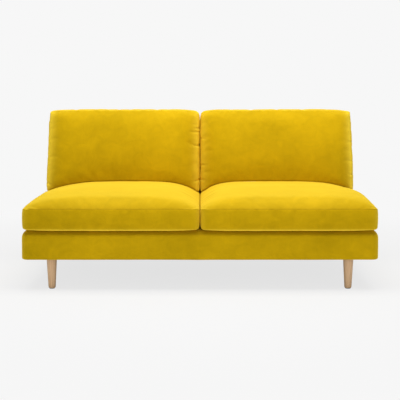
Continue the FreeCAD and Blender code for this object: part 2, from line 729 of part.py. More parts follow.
def zip_opening():
    return zip_box(ZIP_LENGTH, ZIP_OPENING, -OVER, COVER + FIT)


def zip_groove():
    return zip_box(ZIP_LENGTH + 2 * FIT, ZIP_TAPE_WIDTH + 2 * FIT, 0, COVER + ZIP_TAPE + FIT)


def zip_tape():
    tape = zip_box(ZIP_LENGTH, ZIP_TAPE_WIDTH, COVER, COVER + ZIP_TAPE)
    coil = zip_box(ZIP_LENGTH - 2 * OVER, ZIP_COIL_WIDTH, COVER - ZIP_COIL, COVER)
    return tape.fuse(coil)


def zip_slider():
    """A slider straddling the coil at its left end, with its pull lying along the tape."""
    plate_far = COVER - ZIP_COIL - FIT
    plate_near = plate_far - ZIP_SLIDER_PLATE
    body = zip_box(ZIP_SLIDER_LENGTH, ZIP_SLIDER_WIDTH, plate_near, COVER - FIT)
    channel = zip_box(2 * ZIP_SLIDER_LENGTH, ZIP_COIL_WIDTH + 2 * FIT, plate_far, COVER + OVER)
    pull = zip_box(ZIP_PULL_LENGTH, ZIP_PULL_WIDTH, plate_near, plate_far)
    pull.translate(Vector((ZIP_SLIDER_LENGTH + ZIP_PULL_LENGTH) / 2 - FIT, 0, 0))
    slider = body.cut(channel).fuse(pull)
    slider.translate(Vector(-ZIP_LENGTH / 2 + 2 * OVER + ZIP_SLIDER_LENGTH / 2, 0, 0))
    return slider


def on_seat_rear(shape):
    placed = shape.copy()
    centre = (CUSHION_INNER + SOFA_WIDTH / 2) / 2
    placed.translate(Vector(centre, SEAT_REAR, SEAT_DECK + ZIP_ABOVE_DECK))
    return placed


def on_back_rear(shape):
    moved = shape.copy()
    centre = (CUSHION_INNER + BACK_HALF - BACK_CUSHION_FOOT_INSET) / 2
    moved.translate(Vector(centre, -SOFT_GAP, BACK_ZIP_ABOVE_DECK))
    return lean(moved)


def cushion_pieces(form, on_rear):
    """Cover, fibre wrap, foam core, zip tape and zip slider of one cushion."""
    outer = form(0.0)
    lining = form(COVER)
    wrap_outer = form(COVER + FIT)
    wrap_inner = form(COVER + FIT + WRAP)
    core = form(COVER + FIT + WRAP + FIT)
    cover = outer.cut(lining).cut(on_rear(zip_opening()))
    wrap = wrap_outer.cut(wrap_inner).cut(on_rear(zip_groove()))
    return {"cover": cover, "wrap": wrap, "core": core,
            "zip_tape": on_rear(zip_tape()), "zip_slider": on_rear(zip_slider())}


def both_sides(name, right):
    return {name + "_right": right, name + "_left": mirrored(right)}


def sofa():
    """Every node's shape, or list of separate solids."""
    cover_front, cover_right = base_covers()
    pad_front, pad_right = base_paddings()
    back_front_padding, back_top_padding, back_side_padding = back_paddings()
    nodes = {
        "front_rail": front_rail(),
        "seat_rail": seat_rail(),
        "rear_rail": rear_rail(),
        "centre_rail": centre_rail(),
        "back_post_centre": back_post(-POST / 2, True),
        "back_top_rail": back_top_rail(),
        "back_cross_rails": back_cross_rails(),
        "frame_bolts": frame_bolts(),
        "frame_nuts": frame_nuts(),
        "spring_clips": spring_clips(),
        "spring_felt": felt(),
        "platform_pad": platform_pad(),
        "deck_cloth": deck_cloth(),
        "dust_cover": dust_cover(),
        "base_cover_front": cover_front,
        "base_padding_front": pad_front,
        "back_webbing": back_webbing(),
        "back_padding_front": back_front_padding,
        "back_padding_top": back_top_padding,
        "back_padding_sides": [back_side_padding, mirrored(back_side_padding)],
        "back_inner_cover": back_inner_cover(),
        "back_outer_cover": back_outer_cover(),
        "tack_board": tack_board(),
    }
    nodes.update(both_sides("side_rail", side_rail()))
    nodes.update(both_sides("back_post", back_post(POST_HALF - POST, False)))
    nodes.update(both_sides("base_cover", cover_right))
    nodes["base_padding_sides"] = [pad_right, mirrored(pad_right)]
    blocks = [corner_block(True), corner_block(False)]
    nodes["corner_blocks"] = blocks + [mirrored(block) for block in blocks]
    springs = seat_springs()
    nodes["seat_springs"] = springs + [mirrored(one) for one in springs]
    for name, (x, y) in zip(("front_left", "front_right", "rear_left", "rear_right"), leg_places()):
        nodes["leg_" + name] = leg(x, y)
    nodes["leg_glides"] = [leg_glide(x, y) for x, y in leg_places()]
    nodes["leg_bolts"] = [leg_bolt(x, y) for x, y in leg_places()]
    nodes["leg_plates"] = [leg_plate(x, y) for x, y in leg_places()]
    nodes["leg_plate_screws"] = [screw for x, y in leg_places() for screw in plate_screws(x, y)]
    for kind, form, on_rear in (("seat", seat_form, on_seat_rear), ("back", back_form, on_back_rear)):
        for piece, shape in cushion_pieces(form, on_rear).items():
            nodes.update(both_sides(kind + "_cushion_" + piece, shape))
    return nodes


def main():
    os.makedirs("parts", exist_ok=True)
    for name, shape in sofa().items():
        if isinstance(shape, list):
            shape = Part.makeCompound(shape)
        elif len(shape.Solids) == 1:
            shape = shape.Solids[0]
        shape.exportStep("parts/" + name + ".step")


main()
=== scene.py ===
"""Armless two-seat sofa in mustard velvet: cushions, covers, legs, inner parts, and a plain stage."""

import math

import bmesh
import bpy
from bpy.props import FloatProperty, FloatVectorProperty, IntProperty, PointerProperty
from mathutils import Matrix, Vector, noise
from mathutils.bvhtree import BVHTree


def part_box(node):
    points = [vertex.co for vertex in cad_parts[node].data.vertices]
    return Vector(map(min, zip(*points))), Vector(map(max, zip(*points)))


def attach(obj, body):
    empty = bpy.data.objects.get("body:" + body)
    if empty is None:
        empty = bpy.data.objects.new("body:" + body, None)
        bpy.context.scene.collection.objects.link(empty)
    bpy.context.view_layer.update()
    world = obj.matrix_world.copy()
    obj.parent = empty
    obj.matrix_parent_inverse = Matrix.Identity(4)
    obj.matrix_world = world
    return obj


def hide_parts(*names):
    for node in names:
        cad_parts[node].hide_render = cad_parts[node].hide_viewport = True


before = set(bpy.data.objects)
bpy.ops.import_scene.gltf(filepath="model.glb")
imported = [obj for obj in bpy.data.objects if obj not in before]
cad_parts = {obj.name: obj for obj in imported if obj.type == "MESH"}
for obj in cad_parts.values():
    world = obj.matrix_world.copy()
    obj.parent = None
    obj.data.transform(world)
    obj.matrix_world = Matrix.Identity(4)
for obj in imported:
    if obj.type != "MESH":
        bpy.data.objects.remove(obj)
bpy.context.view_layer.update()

bl_info = {
    "name": "Armless velvet sofa",
    "version": (1, 0, 0),
    "blender": (4, 5, 0),
    "location": "3D View > Sidebar > Sofa",
    "description": "Makes the cushions, covers, legs and finishes of a two-seat sofa without arms",
    "category": "Add Mesh",
}

# Places that the frame fixes, in metres
RECLINE = math.radians(11.0)
BACK_SLOPE = math.tan(RECLINE)
REAR_SLOPE = math.tan(math.radians(2.7))
DECK = 0.292
BACK_FOOT = 0.27356
BACK_TOP = 0.783
REAR = 0.45
SEAT_SEAM = 0.395
BACK_CUSHION_TOP = 0.540
THICKNESS = 0.175
THICKNESS_AT_SIDES = 0.122
SEAT_ZIP_Z = 0.340
BACK_ZIP_H = 0.190
ZIP_HALF_LENGTH = 0.2803
ZIP_HALF_WIDTH = 0.0145
ZIP_BED_HALF_WIDTH = 0.018
ZIP_DEPTH = 0.0040
SEAT_ZIP_X = 0.4255
BACK_ZIP_X = 0.4155
HALF_GAP = 0.0007  # least distance of a cushion from the sofa's middle
FULLEST = 0.290  # height up the slope at which a back cushion is thickest
VELVET_THICKNESS = 0.0022


# Properties
class VelvetSettings(bpy.types.PropertyGroup):
    """Colours and shine of the velvet."""
    deep: FloatVectorProperty(name="Deep", description="Velvet seen square on, in its darker patches",
                              subtype="COLOR", size=3, min=0, max=1, default=(0.418, 0.266, 0.0010))
    brushed: FloatVectorProperty(name="Brushed", description="Velvet seen square on, in its lighter patches",
                                 subtype="COLOR", size=3, min=0, max=1, default=(0.63, 0.390, 0.0020))
    # Glow is the colour of painted sheen, mixed in where the velvet is seen edge-on and on its bright rims and
    # bands.
    glow: FloatVectorProperty(name="Glow", description="Velvet seen along the surface",
                              subtype="COLOR", size=3, min=0, max=1, default=(0.90, 0.63, 0.036))
    sheen: FloatProperty(name="Sheen", description="Strength of the light caught by the pile",
                         subtype="FACTOR", min=0, max=1, default=0.35)
    pile: FloatProperty(name="Pile height", description="Depth of the pile's fine relief",
                        unit="LENGTH", min=0, max=0.002, default=0.0004)


class CushionSettings(bpy.types.PropertyGroup):
    """Shape and filling of the four loose cushions."""
    crown: FloatProperty(name="Seat crown", description="Rise of a seat cushion's top over its seam",
                         unit="LENGTH", min=0, max=0.12, default=0.066)
    shoulder: FloatProperty(name="Shoulder", description="Depth of the rounded front of a seat cushion's top",
                            unit="LENGTH", min=0.05, max=0.3, default=0.150)
    seam_draw: FloatProperty(name="Seam draw", description="How far the seams lie inside the fullest line",
                             unit="LENGTH", min=0, max=0.02, default=0.0032)
    seat_travel: FloatProperty(name="Seat puff", description="Furthest that the filling moves a seat's cover",
                               unit="LENGTH", min=0, max=0.03, default=0.0045)
    back_travel: FloatProperty(name="Back puff", description="Furthest that the filling moves a back's cover",
                               unit="LENGTH", min=0, max=0.03, default=0.008)
    pressure: FloatProperty(name="Pressure", description="Pressure of the filling on the cover",
                            min=0, max=20, default=4.0)
    spare: FloatProperty(name="Spare cloth", description="Extra cloth in each cover, which makes soft folds",
                         subtype="FACTOR", min=0, max=0.1, default=0.012)
    frames: IntProperty(name="Frames", description="Frames for which the filling settles",
                        min=2, max=60, default=20)
    step: FloatProperty(name="Mesh step", description="Width of a face before the subdivision",
                        unit="LENGTH", min=0.004, max=0.03, default=0.012)


class CoverSettings(bpy.types.PropertyGroup):
    """Fixed covers of the base and the back."""
    roll: FloatProperty(name="Roll", description="Radius of the base's upper edge",
                        unit="LENGTH", min=0.005, max=0.04, default=0.0395)
    corner: FloatProperty(name="Corner", description="Radius of the base's upright front corners",
                          unit="LENGTH", min=0.005, max=0.08, default=0.040)
    hem: FloatProperty(name="Hem", description="Radius of the base's lower edge",
                       unit="LENGTH", min=0.001, max=0.02, default=0.006)
    back_edge: FloatProperty(name="Back edge", description="Radius of the back's front and top edges",
                             unit="LENGTH", min=0.002, max=0.03, default=0.014)
    softness: FloatProperty(name="Softness", description="Height of the covers' gentle unevenness",
                            unit="LENGTH", min=0, max=0.004, default=0.0009)


class WoodSettings(bpy.types.PropertyGroup):
    """Oak of the legs."""
    light: FloatVectorProperty(name="Light wood", description="Oak between its growth rings",
                               subtype="COLOR", size=3, min=0, max=1, default=(0.80, 0.53, 0.300))
    dark: FloatVectorProperty(name="Dark wood", description="Oak along its growth rings",
                              subtype="COLOR", size=3, min=0, max=1, default=(0.60, 0.375, 0.20))
    segments: IntProperty(name="Segments", description="Faces round a leg",
                          min=12, max=128, default=56)


class StageSettings(bpy.types.PropertyGroup):
    """Floor, light and camera."""
    pale: FloatProperty(name="Backdrop", description="Brightness of the floor and backdrop seen directly",
                        subtype="FACTOR", min=0, max=1, default=0.93)
    shadow: FloatProperty(name="Shadow", description="How much of the floor's own shading shows",
                          subtype="FACTOR", min=0, max=1, default=0.20)
    key: FloatProperty(name="Top lamp", description="Power of the lamp over the sofa", min=0, default=100.0)
    fill: FloatProperty(name="Front lamp", description="Power of the lamp in front", min=0, default=44.0)
    room: FloatProperty(name="Room light", description="Strength of the light from all round", min=0,
                        default=0.40)


# Small helpers
def ease(value):
    """0 below 0, 1 above 1, smooth between."""
    value = min(1.0, max(0.0, value))
    return value * value * (3 - 2 * value)


def front_plane(z):
    """Y of the back's front face at height z."""
    return BACK_FOOT + (z - DECK) * BACK_SLOPE


def rear_plane(z):
    """Y of the back's outside face at height z."""
    return REAR - (BACK_TOP - z) * REAR_SLOPE


def rows(low, high, step, margins=(0.0035, 0.009, 0.016, 0.025), extra=()):
    """Places from low to high: close at both ends, about a step apart between, and through the extra places."""
    first, last = low + margins[-1], high - margins[-1]
    count = max(1, round((last - first) / step))
    between = [first + (last - first) * i / count for i in range(count + 1)]
    near_low, near_high = [low + m for m in margins[:-1]], [high - m for m in reversed(margins[:-1])]
    places = [low] + near_low + between + near_high + [high]
    if extra:
        near = step * 0.4
        kept = [p for p in places[1:-1] if all(abs(p - e) > near for e in extra)]
        places = [low] + sorted(kept + list(extra)) + [high]
    return places


def grid_box(xs, ys, zs):
    """A box of quads with rows at the given places; its layer "place" holds 0 to 1 along each axis."""
    bm = bmesh.new()
    bmesh.ops.create_cube(bm, size=2.0)
    for axis, places in enumerate((xs, ys, zs)):
        along = [e for e in bm.edges if abs((e.verts[0].co - e.verts[1].co)[axis]) > 0.5]
        bmesh.ops.subdivide_edges(bm, edges=along, cuts=len(places) - 2, use_grid_fill=True)
    place = bm.verts.layers.float_vector.new("place")
    for vert in bm.verts:
        share = (vert.co + Vector((1, 1, 1))) / 2
        rows_at = [round(share[a] * (len(p) - 1)) for a, p in enumerate((xs, ys, zs))]
        vert[place] = share
        vert.co = Vector((xs[rows_at[0]], ys[rows_at[1]], zs[rows_at[2]]))
    return bm


def turn_edge(point, first, second, corner, radius):
    """Bend a box's edge into an arc; corner gives (place, outward sign) on each of the two axes."""
    (place_a, sign_a), (place_b, sign_b) = corner
    u = radius - sign_a * (place_a - point[first])
    v = radius - sign_b * (place_b - point[second])
    if u <= 0 or v <= 0:
        return
    keep = max(u, v) / math.hypot(u, v)
    point[first] = place_a - sign_a * (radius - u * keep)
    point[second] = place_b - sign_b * (radius - v * keep)


def roll_in(point, inner_low, inner_high, corner, z_edge, sign, radius):
    """Roll a block's upper or lower edge; the block's upright corners are already round."""
    held = Vector([min(max(point[i], inner_low[i]), inner_high[i]) for i in (0, 1)])
    out = Vector((point.x, point.y)) - held
    if out.length < 1e-6:
        return
    depth = corner - out.length
    u = radius - depth
    v = radius - sign * (z_edge - point.z)
    if u <= 0 or v <= 0:
        return
    keep = max(u, v) / math.hypot(u, v)
    moved = held + out.normalized() * (corner - radius + u * keep)
    point.x, point.y = moved
    point.z = z_edge - sign * (radius - v * keep)


def soften(bm, amount, scale, seed):
    """Move every point a little along its normal, in slow waves."""
    bm.normal_update()
    for vert in bm.verts:
        vert.co += vert.normal * amount * noise.noise(vert.co * scale + Vector((seed, seed * 1.7, seed * 0.6)))


def write_attribute(bm, name, value):
    """Write a point attribute, whose value is worked out from a point's place in its box and its position."""
    place = bm.verts.layers.float_vector["place"]
    layer = bm.verts.layers.float.new(name)
    for vert in bm.verts:
        vert[layer] = float(value(vert[place], vert.co))


def make_piece(name, bm, material, sharp=None):
    """A mesh object from a bmesh, smooth, with its place in its mesh."""
    mesh = bpy.data.meshes.new(name)
    bm.to_mesh(mesh)
    bm.free()
    mesh.shade_smooth()
    if sharp:
        mesh.set_sharp_from_angle(angle=math.radians(sharp))
    piece = bpy.data.objects.new(name, mesh)
    bpy.context.scene.collection.objects.link(piece)
    mesh.materials.append(material)
    return piece


def add_thickness(piece, thickness):
    """Cloth thickness and one smoothing level, left live."""
    thick = piece.modifiers.new("Cloth thickness", "SOLIDIFY")
    thick.thickness = thickness
    thick.offset = -1
    finer = piece.modifiers.new("Subdivision", "SUBSURF")
    finer.levels = finer.render_levels = 1


def faces_off(bm, axis, end):
    """The faces of a box that don't lie on one of its sides."""
    place = bm.verts.layers.float_vector["place"]
    return [f for f in bm.faces if not all(v[place][axis] == end for v in f.verts)]


def face_one_way(bm, axis, sign):
    """Turn an open sheet's faces to look along an axis, in the given direction."""
    bmesh.ops.recalc_face_normals(bm, faces=bm.faces)
    if sum(f.normal[axis] for f in bm.faces) * sign < 0:
        bmesh.ops.reverse_faces(bm, faces=bm.faces)


def hand(side):
    """Word for a side in the nodes' names."""
    return "right" if side > 0 else "left"


def seat_on_frame(piece, body, slot, *nodes):
    """Attach a finished piece to its body and hide the nodes that it stands for; the finish (slot) is not used.
    """
    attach(piece, body)
    if nodes:
        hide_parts(*nodes)


def evaluated_mesh(piece):
    """The piece's mesh with its modifiers applied."""
    graph = bpy.context.evaluated_depsgraph_get()
    return bpy.data.meshes.new_from_object(piece.evaluated_get(graph), preserve_all_data_layers=True,
                                           depsgraph=graph)


def subdivide_once(piece):
    """Replace the piece's mesh with one that is subdivided and smoothed once."""
    modifier = piece.modifiers.new("Subdivision", "SUBSURF")
    modifier.levels = modifier.render_levels = 1
    finer = evaluated_mesh(piece)
    piece.modifiers.remove(modifier)
    old = piece.data
    piece.data = finer
    bpy.data.meshes.remove(old)


def fill_cushion(piece, held, travel, settings):
    """Blow a cover up with cloth pressure while the held points stay; nothing moves further than travel."""
    start = [v.co.copy() for v in piece.data.vertices]
    group = piece.vertex_groups.new(name="held")
    group.add(held, 1.0, "REPLACE")
    cloth = piece.modifiers.new("Cloth", "CLOTH")
    chosen = {"quality": 5, "mass": 0.3, "tension_stiffness": 12, "compression_stiffness": 8,
              "shear_stiffness": 4, "bending_stiffness": 0.4, "shrink_min": -settings.spare, "use_pressure": True,
              "uniform_pressure_force": settings.pressure, "vertex_group_mass": group.name}
    for key, value in chosen.items():
        setattr(cloth.settings, key, value)
    cloth.settings.effector_weights.gravity = 0
    cloth.collision_settings.use_collision = False
    cloth.point_cache.frame_start = 1
    cloth.point_cache.frame_end = settings.frames
    scene = bpy.context.scene
    for step in range(1, settings.frames + 1):
        scene.frame_set(step)
    puffed = evaluated_mesh(piece)
    piece.modifiers.remove(cloth)
    piece.vertex_groups.remove(group)
    scene.frame_set(1)
    for vert, here, there in zip(piece.data.vertices, start, puffed.vertices):
        way = there.co - here
        if way.length > 1e-7:
            vert.co = here + way.normalized() * travel * math.tanh(way.length / travel)
    bpy.data.meshes.remove(puffed)


# Node helpers
def add_node(tree, kind, inputs=None, **settings):
    """Add a shader node; an input's value is either a constant or another node's output."""
    made = tree.nodes.new("ShaderNode" + kind)
    for key, value in settings.items():
        setattr(made, key, value)
    for key, value in (inputs or {}).items():
        if isinstance(value, bpy.types.NodeSocket):
            tree.links.new(value, made.inputs[key])
        else:
            made.inputs[key].default_value = value
    return made


def math_node(tree, operation, first, second, third=None, clamp=False):
    """Add a Math node and return its output."""
    inputs = {0: first, 1: second}
    if third is not None:
        inputs[2] = third
    return add_node(tree, "Math", inputs, operation=operation, use_clamp=clamp).outputs[0]


def mix_colour(tree, factor, first, second, blend="MIX"):
    """Add a colour Mix node and return its output."""
    return add_node(tree, "Mix", {0: factor, 6: first, 7: second}, data_type="RGBA", blend_type=blend).outputs[2]


def colour(values):
    """An opaque colour from three values."""
    return (values[0], values[1], values[2], 1.0)


def noise_value(tree, vector, scale, detail=2.0, roughness=0.5, distortion=0.0):
    """Add a noise texture and return its value."""
    inputs = {"Vector": vector, "Scale": scale, "Detail": detail, "Roughness": roughness,
              "Distortion": distortion}
    return add_node(tree, "TexNoise", inputs).outputs[0]


def stretched(tree, vector, scale, turn=(0, 0, 0)):
    """Scale and turn a texture's coordinates."""
    return add_node(tree, "Mapping", {"Vector": vector, "Scale": scale, "Rotation": turn}).outputs[0]


def swing(tree, value, middle, amount, base, clamp=False):
    """Add a pattern to a base, by the given amount either way of the pattern's middle."""
    return math_node(tree, "MULTIPLY_ADD", math_node(tree, "SUBTRACT", value, middle), amount, base, clamp)


PATTERN_OUTPUTS = (("Colour", "Color"), ("Roughness", "Float"), ("Height", "Float"))


def new_group(name, *inputs):
    """A pattern's node group, with a Vector and the named inputs; returns the tree and its inputs by name."""
    tree = bpy.data.node_groups.new(name, "ShaderNodeTree")
    for label, kind, default in (("Vector", "Vector", None),) + inputs:
        socket = tree.interface.new_socket(name=label, in_out="INPUT", socket_type="NodeSocket" + kind)
        if default is not None:
            socket.default_value = default
    for label, kind in PATTERN_OUTPUTS:
        tree.interface.new_socket(name=label, in_out="OUTPUT", socket_type="NodeSocket" + kind)
    return tree, tree.nodes.new("NodeGroupInput").outputs


def close_group(tree, *values):
    """Link a pattern's colour, roughness and height to its outputs."""
    leave = tree.nodes.new("NodeGroupOutput")
    for value, socket in zip(values, leave.inputs):
        tree.links.new(value, socket)
    return tree


def velvet_pile():
    """Group: brushed patches, streaks along the pile, crushed marks and fine pile; its inputs add painted shade
    and shift the tone, partly as painted light.
    """
    tree, given = new_group(
        "velvet_pile", ("Deep", "Color", colour((0.5, 0.3, 0))), ("Brushed", "Color", colour((0.6, 0.4, 0))),
        ("Seam", "Float", 0.0), ("Tone_and_Painted_Light", "Float", 0.0))
    vector = given["Vector"]
    patches = noise_value(tree, vector, 3.2, 3.0, 0.55, 0.4)
    marks = noise_value(tree, stretched(tree, vector, (15.0, 15.0, 21.0)), 1.0, 4.0, 0.62, 0.9)
    streaks = noise_value(tree, stretched(tree, vector, (95.0, 95.0, 16.0)), 1.0, 2.0)
    fibres = noise_value(tree, vector, 900.0, 1.0)
    # The tone input shifts the tone: partly a given shift across the cushions, partly painted light, brighter
    # towards the back cushions' tops.
    tone = math_node(tree, "MULTIPLY_ADD", given["Tone_and_Painted_Light"], 0.30,
                     math_node(tree, "MULTIPLY_ADD", patches, 1.5, -0.25))
    tone = swing(tree, marks, 0.5, 0.95, tone)
    tone = swing(tree, streaks, 0.5, 0.22, tone)
    tone = swing(tree, fibres, 0.5, 0.35, tone, clamp=True)
    cloth = mix_colour(tree, tone, given["Deep"], given["Brushed"])
    # Painted shade: the velvet is mixed towards dark brown along seams, beside them, in creases and under the
    # seat cushions.
    shade = math_node(tree, "MULTIPLY", given["Seam"], 0.45, clamp=True)
    cloth = mix_colour(tree, shade, cloth, colour((0.16, 0.085, 0.001)))
    rough = math_node(tree, "MULTIPLY_ADD", tone, -0.14, 0.86)
    height = math_node(tree, "MULTIPLY_ADD", streaks, 0.35, math_node(tree, "MULTIPLY", fibres, 0.65))
    return close_group(tree, cloth, rough, height)


def wood_grain():
    """Group: growth rings, rays and pores along Z."""
    tree, given = new_group("wood_grain", ("Light", "Color", colour((0.6, 0.4, 0.2))),
                            ("Dark", "Color", colour((0.4, 0.2, 0.1))), ("Ring Scale", "Float", 30.0))
    slow = stretched(tree, given["Vector"], (1.0, 0.45, 0.10))
    ring_inputs = {"Vector": slow, "Scale": given["Ring Scale"], "Distortion": 5.0, "Detail": 3.0,
                   "Detail Scale": 1.6, "Detail Roughness": 0.6}
    rings = add_node(tree, "TexWave", ring_inputs, wave_profile="SAW").outputs[1]
    pores = noise_value(tree, stretched(tree, given["Vector"], (900.0, 900.0, 26.0)), 1.0, 3.0, 0.7)
    flecks = noise_value(tree, stretched(tree, given["Vector"], (160.0, 60.0, 9.0)), 1.0, 2.0, 0.5)
    dark = math_node(tree, "MULTIPLY", rings, 0.5)
    dark = swing(tree, pores, 0.5, 1.1, dark)
    dark = swing(tree, flecks, 0.45, 0.7, dark, clamp=True)
    return close_group(tree, mix_colour(tree, dark, given["Light"], given["Dark"]),
                       math_node(tree, "MULTIPLY_ADD", dark, 0.18, 0.42), math_node(tree, "MULTIPLY", dark, -1.0))


def plain_weave():
    """Group: warp and weft threads across X and Y, with uneven yarn."""
    tree, given = new_group("plain_weave", ("Thread", "Color", colour((0.5, 0.5, 0.5))),
                            ("Gap", "Color", colour((0.2, 0.2, 0.2))), ("Threads", "Float", 300.0))
    bands = []
    for direction in ("X", "Y"):
        wave = add_node(tree, "TexWave", {"Vector": given["Vector"], "Scale": given["Threads"], "Distortion": 0.5,
                                          "Detail": 1.0}, bands_direction=direction)
        bands.append(wave.outputs[1])
    weave = math_node(tree, "MAXIMUM", bands[0], bands[1])
    slub = noise_value(tree, stretched(tree, given["Vector"], (14.0, 70.0, 14.0)), 1.0, 3.0)
    level = swing(tree, slub, 0.5, 0.6, weave, clamp=True)
    return close_group(tree, mix_colour(tree, level, given["Gap"], given["Thread"]),
                       math_node(tree, "MULTIPLY_ADD", level, -0.1, 0.92), level)


def speckle():
    """Group: fine mottling for foam, felt, board, plastic and plated steel."""
    tree, given = new_group(
        "speckle", ("Base", "Color", colour((0.5, 0.5, 0.5))), ("Spot", "Color", colour((0.3, 0.3, 0.3))),
        ("Grain", "Float", 400.0), ("Rough", "Float", 0.8))
    fine = noise_value(tree, given["Vector"], given["Grain"], 2.0, 0.6)
    broad = noise_value(tree, given["Vector"], 11.0, 3.0)
    level = math_node(tree, "MULTIPLY_ADD", broad, 0.5,
                      math_node(tree, "MULTIPLY_ADD", fine, 1.5, -0.6), clamp=True)
    return close_group(tree, mix_colour(tree, level, given["Base"], given["Spot"]),
                       math_node(tree, "MULTIPLY_ADD", level, 0.12, given["Rough"]), fine)


def group_once(name, build):
    """The node group of this name, made by the given function the first time."""
    return bpy.data.node_groups.get(name) or build()


def grouped_material(name, group, inputs, relief, turn=None, constants=None):
    """A Principled material whose colour, roughness and relief come from a node group."""
    known = bpy.data.materials.get(name)
    if known:
        return known
    made = bpy.data.materials.new(name)
    made.use_nodes = True
    tree = made.node_tree
    surface = tree.nodes["Principled BSDF"]
    place = add_node(tree, "TexCoord").outputs["Object"]
    if turn:
        place = stretched(tree, place, (1, 1, 1), turn)
    pattern = tree.nodes.new("ShaderNodeGroup")
    pattern.node_tree = group
    tree.links.new(place, pattern.inputs["Vector"])
    for key, value in inputs.items():
        pattern.inputs[key].default_value = value
    tree.links.new(pattern.outputs["Colour"], surface.inputs["Base Color"])
    tree.links.new(pattern.outputs["Roughness"], surface.inputs["Roughness"])
    bump = add_node(tree, "Bump", {"Strength": 1.0, "Distance": relief, "Height": pattern.outputs["Height"]})
    tree.links.new(bump.outputs[0], surface.inputs["Normal"])
    for key, value in (constants or {}).items():
        surface.inputs[key].default_value = value
    return made


def velvet():
    """Mustard velvet: darker square on, and painted brighter where seen edge-on and on its bright rims and bands
    (painted sheen), with the shader's own soft sheen on top.
    """
    known = bpy.data.materials.get("mustard_velvet")
    if known:
        return known
    settings = bpy.context.scene.sofa_velvet
    made = grouped_material("mustard_velvet", group_once("velvet_pile", velvet_pile),
                            {"Deep": colour(settings.deep), "Brushed": colour(settings.brushed)}, settings.pile,
                            constants={"Sheen Weight": settings.sheen, "Sheen Roughness": 0.35,
                                       "Sheen Tint": colour((1.0, 0.76, 0.06)), "Specular IOR Level": 0.05})
    tree = made.node_tree
    surface = tree.nodes["Principled BSDF"]
    pattern = next(n for n in tree.nodes if n.bl_idname == "ShaderNodeGroup")
    seam, tone_and_painted_light, painted_sheen = (add_node(tree, "Attribute", attribute_name=name).outputs["Fac"]
                       for name in ("seam", "tone_and_painted_light", "painted_sheen"))
    tree.links.new(seam, pattern.inputs["Seam"])
    tree.links.new(tone_and_painted_light, pattern.inputs["Tone_and_Painted_Light"])
    # Painted sheen: the colour goes towards glow where the surface is seen edge-on and on the marked rims and
    # bands.
    edge_on = add_node(tree, "LayerWeight", {"Blend": 0.5}).outputs["Facing"]
    lift = math_node(tree, "MULTIPLY_ADD", painted_sheen, 0.75, math_node(tree, "POWER", edge_on, 2.2), clamp=True)
    tree.links.new(mix_colour(tree, lift, pattern.outputs["Colour"], colour(settings.glow)),
                   surface.inputs["Base Color"])
    return made


def oak():
    """Light oak of the legs, thinly coated."""
    settings = bpy.context.scene.sofa_wood
    return grouped_material("light_oak", group_once("wood_grain", wood_grain),
                            {"Light": colour(settings.light), "Dark": colour(settings.dark), "Ring Scale": 34.0},
                            0.00012, constants={"Specular IOR Level": 0.35, "Coat Weight": 0.12,
                                                "Coat Roughness": 0.35})


def timber(upright):
    """Plain wood of the frame, its grain upright or along the width."""
    name = "frame_timber_upright" if upright else "frame_timber"
    return grouped_material(name, group_once("wood_grain", wood_grain),
                            {"Light": colour((0.62, 0.44, 0.25)), "Dark": colour((0.44, 0.27, 0.12)),
                             "Ring Scale": 16.0},
                            0.0003, turn=(0, 0, 0) if upright else (0, math.radians(90), 0))


def woven(name, thread, gap, threads, relief=0.0003):
    """Woven cloth or webbing from two colours."""
    return grouped_material(name, group_once("plain_weave", plain_weave),
                            {"Thread": colour(thread), "Gap": colour(gap), "Threads": threads}, relief)


def mottled(name, base, spot, grain, rough, relief, constants=None):
    """A matt material with a fine speckle, such as foam."""
    return grouped_material(name, group_once("speckle", speckle),
                            {"Base": colour(base), "Spot": colour(spot), "Grain": grain, "Rough": rough}, relief,
                            constants=constants)


def zip_lines(middle):
    """Heights of the rows that a zip's bed and coil need."""
    offsets = (-ZIP_BED_HALF_WIDTH, -ZIP_HALF_WIDTH, ZIP_HALF_WIDTH, ZIP_BED_HALF_WIDTH)
    return tuple(middle + offset for offset in offsets)


def zip_ends(middle):
    """Places of the rows that a zip's two ends need."""
    inner, outer = ZIP_HALF_LENGTH, ZIP_HALF_LENGTH + 0.003
    return (middle - outer, middle - inner, middle + inner, middle + outer)


# Seat cushions
SEAM_RISE = 0.002  # height of a seat cushion's top right at its seam
SHOULDER_SHARE = 0.8  # share of the crown that is reached where the shoulder ends
FRONT_TURN, REAR_TURN = 4.4, 2.0  # how tightly the front and rear shoulders turn
REAR_FILL = 0.19  # share added to the crown under the back cushion
REAR_FILL_START, REAR_FILL_END, REAR_FILL_FADE = 0.07, 0.30, 0.16

# How full each seat cushion's crown is, behind and in front: (inner half, outer half) for the left and the right
CROWN_POWERS = ((5.0, 2.8), (6.0, 3.6))
FRONT_POWERS = ((6.0, 6.0), (7.0, 12.0))


def seat_crown(t, u, length, crown, shoulder, power):
    """Height of a seat cushion's top over its seam; t runs front to rear and u side to side, 0 to 1."""
    full = SEAM_RISE + crown * (1 - abs(2 * u - 1) ** power)
    near = min(t, 1 - t) * length
    flat = length / 2 - shoulder
    if near < shoulder:
        share = near / shoulder
        end = 2 * (1 - SHOULDER_SHARE) * shoulder / flat
        turned = 1 - (1 - share) ** (FRONT_TURN if t < 0.5 else REAR_TURN)
        height = end * share + (SHOULDER_SHARE - end) * turned
    else:
        height = 1 - (1 - SHOULDER_SHARE) * ((length / 2 - near) / flat) ** 2
    behind = (1 - t) * length
    return full * (height + REAR_FILL * ease(behind / REAR_FILL_START)
                   * ease((REAR_FILL_END - behind) / REAR_FILL_FADE))


